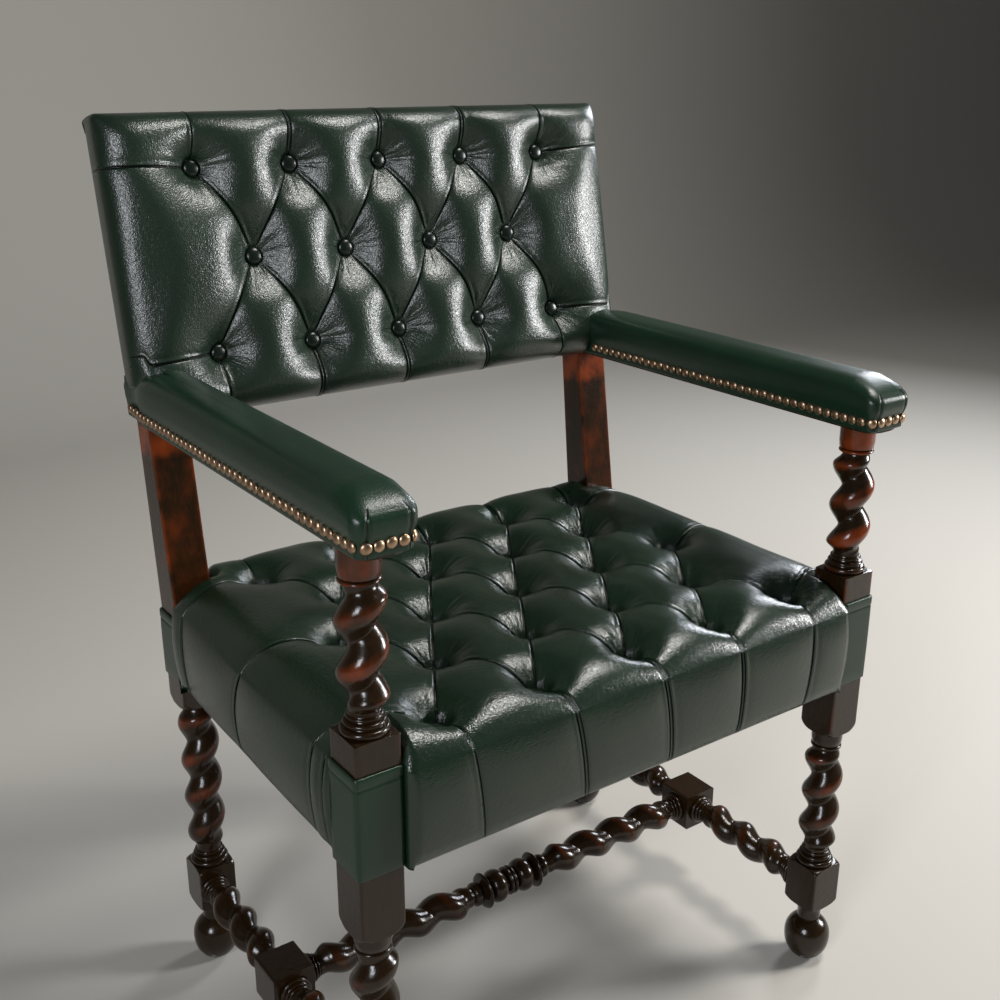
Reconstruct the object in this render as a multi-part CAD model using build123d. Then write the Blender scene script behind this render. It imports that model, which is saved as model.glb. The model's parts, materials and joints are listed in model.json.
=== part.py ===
from build123d import *
import os
from math import asin, cos, pi, radians, sin, sqrt, tan

# Lengths are in millimetres and angles in degrees. X runs from the sitter's right arm to the left one,
# Y from the front of the chair to the back, and Z up from the floor. While the pieces are made, Y is 0
# on the line of the front posts. They are moved to the middle of the chair when they are written.

# Where the four legs stand
front_spacing = 560.0
rear_narrowing = 22.0
leg_depth = 391.0
square = 41.0

# Clearances
fit = 0.2
soft_gap = 0.3
overrun = 5.0

# Facets of turned wood, buttons and nails
turned_sides = 8
twist_steps = 6
button_sides = 6
nail_sides = 5
pillow_chords = 4
ball_chords = 5
middle_ball_chords = 4
corner_chords = 3
flat = 1e-6

# Foot and foot block of every leg
foot_pad_radius = 19.0
foot_pad_height = 7.0
foot_groove = 10.0
ball_radius = 25.0
ball_height = 29.0
ankle_radius = 14.0
ankle_ring_radius = 17.5
ankle_ring_height = 6.5
foot_block_bottom = 74.0
foot_block_top = 127.0
shoulder = 7.0

# Turned rings between a block and a twist
ring_radius = 19.5
small_ring_radius = 16.5
neck_radius = 13.0
rings_height = 19.0
large_ring_share = 0.45
hollow_share = 0.6
collar_ease_share = 0.2

# Twists of the legs and of the arm supports: crest and groove radii, turns and where they start
front_crest = 21.0
front_groove = 12.3
front_turns = 3.0
rear_crest = 20.8
rear_groove = 13.9
rear_turns = 4.0
support_crest = 21.0
support_groove = 10.5
support_turns = 2.5
front_leg_angle = {"left": 60.0, "right": 242.0}
rear_leg_angle = {"left": 27.0, "right": 200.0}
support_angle = {"left": 231.0, "right": 38.0}
fade_share = 0.45

# Seat blocks
collar_radius = 16.0
collar_height = 22.0
front_block_bottom = 294.0
front_block_top = 477.5
rear_block_bottom = 325.0
deep_shoulder = 14.0

# Arm supports
upper_rings_height = 16.5
top_collar_radius = 17.0
top_collar_height = 28.0
arm_underside = 632.0
pin_radius = 10.0
pin_length = 14.0

# Uprights of the back, which rake from the seat and again from the lower edge of the back panel
upright_start = 436.0
seat_rake = 8.6
back_rake = 11.0
upright_waist = 31.0
upright_head = 28.0

# Stretchers
stretcher_height = 100.5
stretcher_crest = 18.5
stretcher_groove = 11.0
stretcher_end_rings = 13.0
stretcher_pin_radius = 9.0
stretcher_pin_length = 16.0
centre_block = 44.0
side_turns = 3.0
cross_turns = 4.0
stretcher_angle = 90.0
bead_radius = 11.5
bead_length = 10.0
disc_radius = 20.0
disc_length = 5.0
middle_ball_radius = 18.5
middle_ball_length = 19.0
double_ring_radius = 16.0
double_ring_length = 5.0
waist_radius = 9.5
waist_length = 3.0

# Seat frame
rail_thickness = 25.0
rail_bottom = 357.0
rail_setback = 7.0
tenon_thickness = 9.0
tenon_length = 16.0
tenon_shoulder = 10.0
corner_leg = 58.0
corner_block_height = 50.0
corner_block_drop = 12.0
screw_radius = 2.5
screw_head_radius = 5.0
screw_head_height = 3.0
screw_bite = 14.0

# Webbing, hessian and the cloth under the seat
webbing_width = 50.0
webbing_thickness = 1.5
seat_webs_along = 4
seat_webs_across = 3
back_webs_up = 4
back_webs_across = 2
hessian_thickness = 0.7
cloth_thickness = 0.8

# Seat cushion
seat_pad_base = 440.0
seat_bottom = 353.0
seat_front_overhang = 20.0
seat_rear_overhang = 23.0
seat_front_swell = 9.5
seat_rear_swell = 0.0
seat_crest = 44.0
seat_crease = 31.0
seat_tuft = 6.0
seat_roll = 44.0
seat_side_height = 6.0
seat_draw_in = 5.0
seat_top_draw = 3.0
seat_scallop = 4.0
seat_button_step = 103.0
seat_side_pleats = (62.0, 205.0, 340.0)
crease_width = 2.5
seat_rows = (12.0, 96.0, 181.0, 264.0, 345.0)

# Back panel: its sizes are taken in its own raked plane, from its lower edge
panel_overhang = 29.0
panel_height = 290.0
panel_front = 20.0
panel_rear = 37.0
panel_edge = 8.5
panel_rear_draw = 5.0
outside_thickness = 2.0
back_rail_height = 50.0
back_crest = 22.0
back_crease = 13.0
back_tuft = 4.0
back_roll = 26.0
back_side_height = 5.0
back_button_step = 104.5
back_rows = (57.5, 148.5, 237.0)

# How the pillows between the buttons puff up, and where the sections of a pad lie
puff_power = 2.4
pillow_share = 0.4
roll_shares = (0.03, 0.25, 0.6)
band_shares = (0.3, 0.7)

# Buttons
button_radius = 9.0
button_height = 7.0
button_seat_slope = 4.0
button_foot_share = 0.9
button_brim_share = 0.35
button_crown_share = 0.45

# Arms
arm_inset = 4.0
arm_front = 38.0
arm_board_half = 22.0
arm_board_thickness = 20.0
arm_corner = 17.0
arm_cover_half = 24.5
arm_cover_drop = 17.5
arm_cover_thickness = 1.9
arm_bulge = 5.0
arm_height = 56.0
arm_rise_shares = (0, 0.28, 0.45, 0.7, 0.88, 0.97, 1)
arm_swell_shares = (0, 0, 0.9, 1, 0.45, -1.2, -3.6)
front_swell_share = 0.3

# Brass nails along the arms
nail_radius = 4.9
nail_height = 3.4
nail_pitch = 10.4
nail_line = 10.0
nail_crown_share = 0.5

# Leather round the corners of the seat
wrap_thickness = 2.0
front_wrap_top = 450.0
rear_wrap_top = 430.0

# Places worked out from the sizes above
sides = {"left": -1, "right": 1}
front_x = front_spacing / 2
rear_x = (front_spacing - rear_narrowing) / 2
side_x = (front_x + rear_x) / 2
half_square = square / 2
middle_y = leg_depth / 2
seat_front_half = front_x + seat_front_overhang
seat_rear_half = rear_x + seat_rear_overhang
panel_half = rear_x + panel_overhang
arm_line = front_x - arm_inset
front_y = -half_square
rear_y = leg_depth + half_square
rail_top = seat_pad_base - soft_gap - hessian_thickness - 2 * webbing_thickness
front_rail_y = front_y + rail_setback
rear_rail_y = rear_y - rail_setback
seat_front = front_y - seat_front_swell
seat_rear = rear_y + seat_rear_swell
back_foot_y = leg_depth - half_square + (arm_underside - upright_start) * tan(radians(seat_rake))
back_pad_base = 2 * webbing_thickness + hessian_thickness + soft_gap
post_top = panel_height - panel_edge - soft_gap
back_rail_lows = (panel_edge, post_top - back_rail_height)
corner_block_z = rail_top - corner_block_drop - corner_block_height
arm_board_top = arm_underside + arm_board_thickness
arm_top = arm_underside + arm_height
nail_z = arm_underside + nail_line
outside_rear = panel_rear + soft_gap + outside_thickness
panel_up = Vector(0, sin(radians(back_rake)), cos(radians(back_rake)))
panel_out = Vector(0, -cos(radians(back_rake)), sin(radians(back_rake)))
panel_foot = Vector(0, back_foot_y, arm_underside)
panel_plane = Plane(origin=panel_foot, x_dir=(1, 0, 0), z_dir=panel_out)
rear_reach = (panel_foot + panel_up * (panel_height - soft_gap) - panel_out * outside_rear).Y
front_reach = -arm_front - soft_gap - nail_height
depth_centre = (rear_reach + front_reach) / 2


def save(name, shape):
    export_step(Location((0, -depth_centre, 0)) * shape, f"parts/{name}.step")


def box(x0, x1, y0, y1, z0, z1):
    corner = Location((min(x0, x1), min(y0, y1), min(z0, z1)))
    return corner * Solid.make_box(abs(x1 - x0), abs(y1 - y0), abs(z1 - z0))


def in_panel(u, v, h):
    return panel_foot + Vector(u, 0, 0) + panel_up * v + panel_out * h


def panel_box(u0, u1, v0, v1, h0, h1):
    return panel_plane.location * box(u0, u1, v0, v1, h0, h1)


# Turned work

def spindle(stations, count=turned_sides):
    """A solid of flat facets through regular polygons. Each station has its height, its radius, and
    the distance and the direction of its centre from the axis."""
    turns = [2 * pi * (k + 0.5) / count for k in range(count)]
    rings = []
    for k, (height, radius, offset, angle) in enumerate(stations):
        if k and (height, radius, offset) == stations[k - 1][:3]:
            continue
        x = offset * cos(angle)
        y = offset * sin(angle)
        rings.append([Vector(x + radius * cos(a), y + radius * sin(a), height) for a in turns])
    return facets(rings)


def facets(rings):
    """A solid of flat facets between closed outlines that have the same number of points, each a
    planar one."""
    faces = [Face(Wire.make_polygon(rings[0])), Face(Wire.make_polygon(rings[-1]))]
    count = len(rings[0])
    for low, high in zip(rings, rings[1:]):
        for k in range(count):
            n = (k + 1) % count
            if (low[n] - low[k]).cross(high[n] - high[k]).length < flat * (low[n] - low[k]).length:
                faces.append(Face(Wire.make_polygon([low[k], low[n], high[n], high[k]])))
            else:
                faces.append(Face(Wire.make_polygon([low[k], low[n], high[n]])))
                faces.append(Face(Wire.make_polygon([low[k], high[n], high[k]])))
    return Solid(Shell(faces))


def plain(*stations):
    return [(height, radius, 0, 0) for height, radius in stations]


def ring(low, high, inner, outer):
    quarter = (high - low) / 4
    return plain((low, inner), (low + quarter, outer), (high - quarter, outer), (high, inner))


def ball(centre, radius, low, high, chords=ball_chords):
    first = asin((low - centre) / radius)
    last = asin((high - centre) / radius)
    angles = [first + (last - first) * k / chords for k in range(chords + 1)]
    return plain(*((centre + radius * sin(a), radius * cos(a)) for a in angles))


def twist(low, high, crest, groove, turns, angle):
    """A one-start twist: a circle whose centre winds round the axis, and that draws in to the neck at
    both ends."""
    count = round(turns * twist_steps)
    radius = (crest + groove) / 2
    offset = (crest - groove) / 2
    stations = []
    for k in range(count + 1):
        turned = turns * k / count
        swell = min(1, turned / fade_share, (turns - turned) / fade_share)
        station = (
            low + (high - low) * k / count,
            neck_radius + (radius - neck_radius) * swell,
            offset * swell,
            radians(angle) + 2 * pi * turned,
        )
        stations.append(station)
    return stations


def foot():
    ball_low = foot_groove
    ball_high = ball_height + sqrt(ball_radius**2 - ankle_radius**2)
    ankle_ring = foot_block_bottom - ankle_ring_height
    return (
        plain((0, foot_pad_radius), (foot_pad_height, foot_pad_radius))
        + ball(ball_height, ball_radius, ball_low, ball_high)
        + plain((ankle_ring, ankle_radius), (foot_block_bottom, ankle_ring_radius))
        + plain((foot_block_bottom + overrun, ankle_ring_radius))
    )


def rings_up(low, height):
    """A large ring on a block, a hollow, a small ring and the neck of a twist."""
    large = low + height * large_ring_share
    hollow = low + height * hollow_share
    return (
        plain((low - overrun, neck_radius))
        + ring(low, large, neck_radius, ring_radius)
        + ring(hollow, low + height, neck_radius, small_ring_radius)
    )


def collar_up(low, radius, height):
    """A plain collar under a block or an arm, with its lower edge eased."""
    return plain(
        (low, neck_radius),
        (low + height * collar_ease_share, radius),
        (low + height, radius),
        (low + height + overrun, radius),
    )


def turned_block(low, high, low_shoulder, high_shoulder, width=square):
    """A square block whose corners the lathe has rounded off at its ends."""
    round_end = width / 2
    corner = width / 2 * sqrt(2) + fit
    outline = Polyline(
        (0, low),
        (round_end, low),
        (corner, low + low_shoulder),
        (corner, high - high_shoulder),
        (round_end, high),
        (0, high),
        close=True,
    )
    lathe = revolve(Plane.XZ * make_face(outline), Axis.Z)
    return box(-width / 2, width / 2, -width / 2, width / 2, low, high) & lathe


def leg(crest, groove, turns, angle, twist_top, block_low):
    """Foot, foot block, rings, twist and collar of a leg, on the axis at zero."""
    twist_low = foot_block_top + rings_height
    lower = spindle(foot())
    upper = spindle(
        rings_up(foot_block_top, rings_height)
        + twist(twist_low, twist_top, crest, groove, turns, angle)
        + collar_up(twist_top, collar_radius, block_low - twist_top)
    )
    return lower + turned_block(foot_block_bottom, foot_block_top, shoulder, shoulder) + upper


# Frame

def stretcher_hole():
    """The hole for a stretcher's round pin, along Z from the face that it enters."""
    radius = stretcher_pin_radius + fit
    return spindle(plain((-overrun, radius), (stretcher_pin_length + fit, radius)))


def side_stretcher_hole(side, end):
    place = Location((sides[side] * side_x, middle_y, stretcher_height)) * Rotation(-90, 0, 0)
    if end == "front":
        place = place * Rotation(180, 0, 0)
    return place * Location((0, 0, middle_y - half_square)) * stretcher_hole()


def cross_stretcher_hole(side):
    place = Location((0, middle_y, stretcher_height)) * Rotation(0, 90, 0)
    if side == "left":
        place = place * Rotation(180, 0, 0)
    return place * Location((0, 0, side_x - centre_block / 2)) * stretcher_hole()


def front_post(side):
    s = sides[side]
    post = leg(
        front_crest,
        front_groove,
        front_turns,
        front_leg_angle[side],
        front_block_bottom - collar_height,
        front_block_bottom,
    )
    support_low = front_block_top + upper_rings_height
    support_top = arm_underside - top_collar_height
    support = spindle(
        rings_up(front_block_top, upper_rings_height)
        + twist(support_low, support_top, support_crest, support_groove, support_turns, support_angle[side])
        + plain(
            (support_top, neck_radius),
            (support_top + top_collar_height * collar_ease_share, top_collar_radius),
            (arm_underside, top_collar_radius),
            (arm_underside, pin_radius),
            (arm_underside + pin_length, pin_radius),
        )
    )
    block = turned_block(front_block_bottom, front_block_top, deep_shoulder, 0)
    post = Location((s * front_x, 0, 0)) * (post + block + support)
    post -= tenon_of_front_rail(side, fit)
    post -= tenon_of_side_rail(side, "front", fit)
    return post - side_stretcher_hole(side, "front") - corner_screw(side, "front", screw_radius)


def rear_post(side):
    s = sides[side]
    x0 = s * (rear_x - half_square)
    x1 = s * (rear_x + half_square)
    lower = leg(
        rear_crest,
        rear_groove,
        rear_turns,
        rear_leg_angle[side],
        rear_block_bottom - overrun,
        rear_block_bottom,
    )
    block = turned_block(rear_block_bottom, upright_start, deep_shoulder, 0)
    waist_rear = panel_foot - panel_out * upright_waist
    head_front = in_panel(0, post_top, 0)
    head_rear = in_panel(0, post_top, -upright_head)
    outline = Polyline(
        (leg_depth - half_square, upright_start),
        (panel_foot.Y, panel_foot.Z),
        (head_front.Y, head_front.Z),
        (head_rear.Y, head_rear.Z),
        (waist_rear.Y, waist_rear.Z),
        (rear_y, upright_start),
        close=True,
    )
    upright = Location((min(x0, x1), 0, 0)) * extrude(Plane.YZ * make_face(outline), square)
    post = Location((s * rear_x, leg_depth, 0)) * (lower + block) + upright
    post -= tenon_of_side_rail(side, "rear", fit)
    post -= tenon_of_rear_rail(side, fit)
    post -= arm_tenon(side, fit)
    for low in back_rail_lows:
        post -= back_rail_tenon(side, low, fit)
    return post - side_stretcher_hole(side, "rear") - corner_screw(side, "rear", screw_radius)


def stretcher_rings(low, height):
    """Two sharp-edged rings on the face of a block, the larger first."""
    middle = low + height * hollow_share
    return plain(
        (low, neck_radius),
        ((low + middle) / 2, small_ring_radius),
        (middle, neck_radius),
        ((middle + low + height) / 2, (small_ring_radius + neck_radius) / 2),
        (low + height, neck_radius),
    )


def flipped(stations):
    return [(-height, radius, offset, angle) for height, radius, offset, angle in reversed(stations)]


def stretcher_half(low, high, turns, angle):
    """From the face of a block to the far end of the twist, with rings at both ends."""
    first = low + stretcher_end_rings
    last = high - stretcher_end_rings
    return (
        stretcher_rings(low, stretcher_end_rings)
        + twist(first, last, stretcher_crest, stretcher_groove, turns, angle)
        + flipped(stretcher_rings(-high, stretcher_end_rings))
    )


def side_stretcher(side):
    s = sides[side]
    gap = middle_y - centre_block / 2 - half_square
    end = centre_block / 2 + gap
    pin = plain((end, stretcher_pin_radius), (end + stretcher_pin_length, stretcher_pin_radius))
    start = plain((centre_block / 2 - overrun, neck_radius))
    to_rear = spindle(start + stretcher_half(centre_block / 2, end, side_turns, stretcher_angle) + pin)
    to_front = Rotation(180, 0, 0) * to_rear
    block = turned_block(-centre_block / 2, centre_block / 2, 0, 0, centre_block)
    whole = Rotation(-90, 0, 0) * (to_rear + to_front + block)
    return Location((s * side_x, middle_y, stretcher_height)) * whole - cross_stretcher_hole(side)


def cross_stretcher():
    end = side_x - centre_block / 2
    marks = [
        0,
        double_ring_length,
        waist_length,
        middle_ball_length,
        waist_length,
        disc_length,
        waist_length,
        bead_length,
    ]
    places = [sum(marks[: k + 1]) for k in range(len(marks))]
    centre = plain((0, waist_radius))
    centre += ring(places[0] + waist_length / 2, places[1], waist_radius, double_ring_radius)
    centre += ball(
        (places[2] + places[3]) / 2,
        middle_ball_radius,
        places[2],
        places[3],
        chords=middle_ball_chords,
    )
    centre += ring(places[4], places[5], waist_radius, disc_radius)
    centre += ring(places[6], places[7], waist_radius, bead_radius)
    half = centre + twist(
        places[7] + waist_length,
        end - stretcher_end_rings,
        stretcher_crest,
        stretcher_groove,
        cross_turns,
        stretcher_angle,
    )
    half += flipped(stretcher_rings(-end, stretcher_end_rings))
    half += plain((end, stretcher_pin_radius), (end + stretcher_pin_length, stretcher_pin_radius))
    right = spindle(half)
    left = Rotation(180, 0, 0) * right
    return Location((0, middle_y, stretcher_height)) * Rotation(0, 90, 0) * (right + left)


def tenon_of_front_rail(side, gap):
    s = sides[side]
    x0 = s * (front_x - half_square - overrun)
    x1 = s * (front_x - half_square + tenon_length + gap)
    y = front_rail_y + rail_thickness / 2
    return box(x0, x1, y - tenon_thickness / 2 - gap, y + tenon_thickness / 2 + gap,
               rail_bottom + tenon_shoulder - gap, rail_top - tenon_shoulder + gap)


def tenon_of_rear_rail(side, gap):
    s = sides[side]
    x0 = s * (rear_x - half_square - overrun)
    x1 = s * (rear_x - half_square + tenon_length + gap)
    y = rear_rail_y - rail_thickness / 2
    return box(x0, x1, y - tenon_thickness / 2 - gap, y + tenon_thickness / 2 + gap,
               rail_bottom + tenon_shoulder - gap, rail_top - tenon_shoulder + gap)


def tenon_of_side_rail(side, end, gap):
    x = sides[side] * side_x
    if end == "front":
        y0 = half_square - tenon_length - gap
        y1 = half_square + overrun
    else:
        y0 = leg_depth - half_square - overrun
        y1 = leg_depth - half_square + tenon_length + gap
    return box(x - tenon_thickness / 2 - gap, x + tenon_thickness / 2 + gap, y0, y1,
               rail_bottom + tenon_shoulder - gap, rail_top - tenon_shoulder + gap)


def front_seat_rail():
    end = front_x - half_square
    rail = box(-end, end, front_rail_y, front_rail_y + rail_thickness, rail_bottom, rail_top)
    return rail + tenon_of_front_rail("left", 0) + tenon_of_front_rail("right", 0)


def rear_seat_rail():
    end = rear_x - half_square
    rail = box(-end, end, rear_rail_y - rail_thickness, rear_rail_y, rail_bottom, rail_top)
    return rail + tenon_of_rear_rail("left", 0) + tenon_of_rear_rail("right", 0)


def side_seat_rail(side):
    x = sides[side] * side_x
    rail = box(x - rail_thickness / 2, x + rail_thickness / 2,
               half_square, leg_depth - half_square, rail_bottom, rail_top)
    rail = rail + tenon_of_side_rail(side, "front", 0) + tenon_of_side_rail(side, "rear", 0)
    return rail - [corner_screw(side, end, screw_radius + fit) for end in ("front", "rear")]


def corner_outline(end):
    """The corner block's outline on the right-hand side, round the inner corner of the post."""
    inner = side_x - rail_thickness / 2
    if end == "front":
        rail = front_rail_y + rail_thickness
        post = Vector(front_x - half_square - soft_gap, half_square + soft_gap)
        way = 1
    else:
        rail = rear_rail_y - rail_thickness
        post = Vector(rear_x - half_square - soft_gap, leg_depth - half_square - soft_gap)
        way = -1
    return [
        (post.X - corner_leg, rail),
        (post.X, rail),
        (post.X, post.Y),
        (inner, post.Y),
        (inner, post.Y + way * corner_leg),
    ]


def corner_middle(end):
    """The middle of the corner block's open face, on the right-hand side."""
    outline = corner_outline(end)
    first = outline[0]
    last = outline[-1]
    middle_z = corner_block_z + corner_block_height / 2
    return Vector((first[0] + last[0]) / 2, (first[1] + last[1]) / 2, middle_z)


def corner_way(end):
    """The direction from the open face of the corner block into the post."""
    outline = corner_outline(end)
    along = Vector(outline[-1][0] - outline[0][0], outline[-1][1] - outline[0][1], 0).normalized()
    across = Vector(along.Y, -along.X, 0)
    return across if end == "front" else across * -1


def corner_screw(side, end, radius, head=0):
    """The shank of the screw with the given radius, and its head if it has one."""
    middle = corner_middle(end)
    way = corner_way(end)
    x, y = corner_outline(end)[2]
    reach = (Vector(x, y, middle.Z) - middle).length + screw_bite
    shank = spindle(plain((0, radius), (reach, radius)), button_sides)
    if head:
        shank += spindle(plain((-screw_head_height, head), (0, head)), button_sides)
    screw = Plane(origin=middle, x_dir=(0, 0, 1), z_dir=way).location * shank
    return screw if side == "right" else screw.mirror(Plane.YZ)


def corner_block(side, end):
    outline = Polyline(*corner_outline(end), close=True)
    block = Location((0, 0, corner_block_z)) * extrude(make_face(outline), corner_block_height)
    block = block if side == "right" else block.mirror(Plane.YZ)
    return block - corner_screw(side, end, screw_radius + fit)


def back_rail(low):
    u_end = rear_x - half_square
    rail = panel_box(-u_end, u_end, low, low + back_rail_height, -rail_thickness, 0)
    return rail + back_rail_tenon("left", low, 0) + back_rail_tenon("right", low, 0)


def back_rail_tenon(side, low, gap):
    s = sides[side]
    u0 = s * (rear_x - half_square - overrun)
    u1 = s * (rear_x - half_square + tenon_length + gap)
    middle = -rail_thickness / 2
    return panel_box(u0, u1, low + tenon_shoulder - gap, low + back_rail_height - tenon_shoulder + gap,
                     middle - tenon_thickness / 2 - gap, middle + tenon_thickness / 2 + gap)


# Webbing and cloth

def spread(count, low, high):
    """The middles of so many strips, evenly spaced between two edges."""
    return [low + (high - low) * (k + 0.5) / count for k in range(count)]


def seat_webbing():
    strips = []
    x_end = side_x + rail_thickness / 2
    x_inner = rear_x - half_square
    level = rail_top + webbing_thickness
    for x in spread(seat_webs_along, -x_inner, x_inner):
        strips.append(box(x - webbing_width / 2, x + webbing_width / 2,
                          front_rail_y, rear_rail_y, rail_top, level))
    for y in spread(seat_webs_across, half_square, leg_depth - half_square):
        strips.append(box(-x_end, x_end, y - webbing_width / 2, y + webbing_width / 2,
                          level, level + webbing_thickness))
    return Compound(strips)


def corner_posts(gap):
    """Room for the four posts through the seat's cloths, with a gap round them."""
    rooms = []
    for s in sides.values():
        rooms.append(box(s * (front_x - half_square - gap), s * (front_x + square),
                         -square, half_square + gap, seat_bottom - square, front_block_top + square))
        rooms.append(box(s * (rear_x - half_square - gap), s * (rear_x + square),
                         leg_depth - half_square - gap, leg_depth + square,
                         seat_bottom - square, front_block_top + square))
    return rooms


def seat_sheet(low, thickness):
    x_end = side_x + rail_thickness / 2
    sheet = box(-x_end, x_end, front_rail_y, rear_rail_y, low, low + thickness)
    return sheet - corner_posts(soft_gap)


def back_webbing():
    strips = []
    u_end = rear_x + half_square
    for u in spread(back_webs_up, half_square - rear_x, rear_x - half_square):
        strips.append(panel_box(u - webbing_width / 2, u + webbing_width / 2,
                                panel_edge, post_top, 0, webbing_thickness))
    for v in spread(back_webs_across, panel_edge + back_rail_height, post_top - back_rail_height):
        strips.append(panel_box(-u_end, u_end, v - webbing_width / 2, v + webbing_width / 2,
                                webbing_thickness, 2 * webbing_thickness))
    return Compound(strips)


def back_hessian():
    u_end = rear_x + half_square
    sheet = panel_box(-u_end, u_end, panel_edge, post_top,
                      2 * webbing_thickness, 2 * webbing_thickness + hessian_thickness)
    return sheet - [arm_room(side) for side in sides]


# Buttoned cushions

def button_places(rows, step, first=5):
    """The places of the buttons, in rows of five and four by turns."""
    places = []
    for k, row in enumerate(rows):
        count = first - k % 2
        for n in range(count):
            places.append(((n - (count - 1) / 2) * step, row))
    return places


def crease_lines(share, step, pinch):
    """Where the eight creases lie across the pad, at a share of the way from a row of five buttons to
    a row of four. Creases that meet in a button stay a pinch apart."""
    creases = []
    for k in range(8):
        from_five = ((k + 1) // 2 - 2) * step
        to_four = (k // 2 - 1.5) * step
        creases.append(from_five + (to_four - from_five) * share)
    for k in range(7):
        lack = pinch - (creases[k + 1] - creases[k])
        if lack > 0:
            creases[k] -= lack / 2
            creases[k + 1] += lack / 2
    return creases


def bulge(a, b, low, rise):
    """Points of a puffed line from a to b, without its last point."""
    points = []
    for k in range(pillow_chords):
        share = k / pillow_chords
        points.append((a + (b - a) * share, low + rise * (1 - abs(2 * share - 1) ** puff_power)))
    return points


def pad_section(half, roll, side, crest, edge_crest, crease, creases, pinch, step):
    """The upper outline across a buttoned pad: upright sides, rolled edges, and a puffed line for each
    pillow between two creases."""
    bend = 1 - 1 / sqrt(2)
    rise = edge_crest - side
    outer = creases[0] - pinch
    flank = [
        (-half, side),
        (-half + roll * bend / 2, side + rise / 2),
        (-half + roll * bend * 2, side + rise * (1 - bend / 2)),
        (-half + 2 * roll * (1 - bend), edge_crest),
        ((outer - half) / 2 + roll / 2, (edge_crest * 2 + crease) / 3),
        (outer, crease),
    ]
    points = list(flank)
    for a, b in zip(creases, creases[1:]):
        width = b - a
        height = min((crest - crease) * sqrt(min(1, width / step)), width * pillow_share)
        points += bulge(a, b, crease, height)
    points.append((creases[-1], crease))
    points += [(-u, h) for u, h in reversed(flank)]
    return points


def buttoned_pad(place, half_at, low, high, rows, step, sizes):
    """A pad with rows of five and four buttons by turns, as sections along it that flat facets join.
    place(u, v, h) gives a point, half_at(v) the half width there."""
    crest, crease, tuft, roll, side = sizes
    pinch = crease_width
    stops = []
    for share in roll_shares:
        stops.append((low + roll * share, 0, "plain"))
    for k, row in enumerate(rows):
        stops.append((row, k % 2, "row"))
        if k + 1 < len(rows):
            for share in band_shares:
                v = row + (rows[k + 1] - row) * share
                stops.append((v, share if k % 2 == 0 else 1 - share, "band"))
    for share in reversed(roll_shares):
        stops.append((high - roll * share, 0, "plain"))
    rings = []
    for v, share, kind in stops:
        away = max(low + roll - v, v - (high - roll), 0)
        level = sqrt(1 - (away / roll) ** 2)
        if kind == "row":
            depth = tuft
        elif kind == "plain":
            depth = crease
        else:
            depth = tuft + (crease - tuft) * 4 * share * (1 - share)
        folded = kind == "row" and share == 0 and rows[0] < v
        edge = (crest + crease) / 2 if folded else crest
        half = half_at(v)
        creases = crease_lines(share, step, pinch)
        upper = pad_section(half, roll, side, crest, edge, depth, creases, pinch, step)
        ends = [(half, 0), (-half, 0)]
        rings.append([place(u, v, h * level) for u, h in upper + ends])
    return facets(rings)


def button():
    dome = plain(
        (soft_gap, button_radius * button_foot_share),
        (soft_gap + button_height * button_brim_share, button_radius),
        (soft_gap + button_height, button_radius * button_crown_share),
    )
    return spindle(dome, button_sides)


def button_room(height):
    """The dimple that a button sits in, wider above."""
    foot_radius = button_radius + 2 * soft_gap
    return spindle(plain((0, foot_radius), (height, foot_radius + height / button_seat_slope)), button_sides)


def seat_half(v):
    return seat_front_half + (seat_rear_half - seat_front_half) * v / (leg_depth - half_square)


def seat_skirt(z, draw):
    """The seat's outline in plan, scalloped between its pleats, drawn in by the given amount."""
    front = seat_front + draw
    post_x = front_x - half_square - soft_gap
    post_y = half_square + soft_gap
    rear_post_x = rear_x - half_square - soft_gap
    rear_post_y = leg_depth - half_square - soft_gap
    pleats = [n * seat_button_step for n in (-2, -1, 0, 1, 2)]
    stops = [-post_x, *pleats, post_x]
    edges = []
    for a, b in zip(stops, stops[1:]):
        edges.append(ThreePointArc((a, front, z), ((a + b) / 2, front - seat_scallop, z), (b, front, z)))
    for s in (1, -1):
        run = [post_y, *seat_side_pleats, rear_post_y]
        arcs = []
        for a, b in zip(run, run[1:]):
            middle = (a + b) / 2
            arcs.append(
                ThreePointArc(
                    (s * (seat_half(a) - draw), a, z),
                    (s * (seat_half(middle) - draw + seat_scallop / 2), middle, z),
                    (s * (seat_half(b) - draw), b, z),
                )
            )
        corner = [
            Line((s * post_x, front, z), (s * post_x, post_y, z)),
            Line((s * post_x, post_y, z), (s * (seat_half(post_y) - draw), post_y, z)),
            *arcs,
            Line((s * (seat_half(rear_post_y) - draw), rear_post_y, z), (s * rear_post_x, rear_post_y, z)),
            Line((s * rear_post_x, rear_post_y, z), (s * rear_post_x, seat_rear, z)),
        ]
        edges += corner if s > 0 else corner[::-1]
        if s > 0:
            edges.append(Line((rear_post_x, seat_rear, z), (-rear_post_x, seat_rear, z)))
    return Wire(edges)


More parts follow.
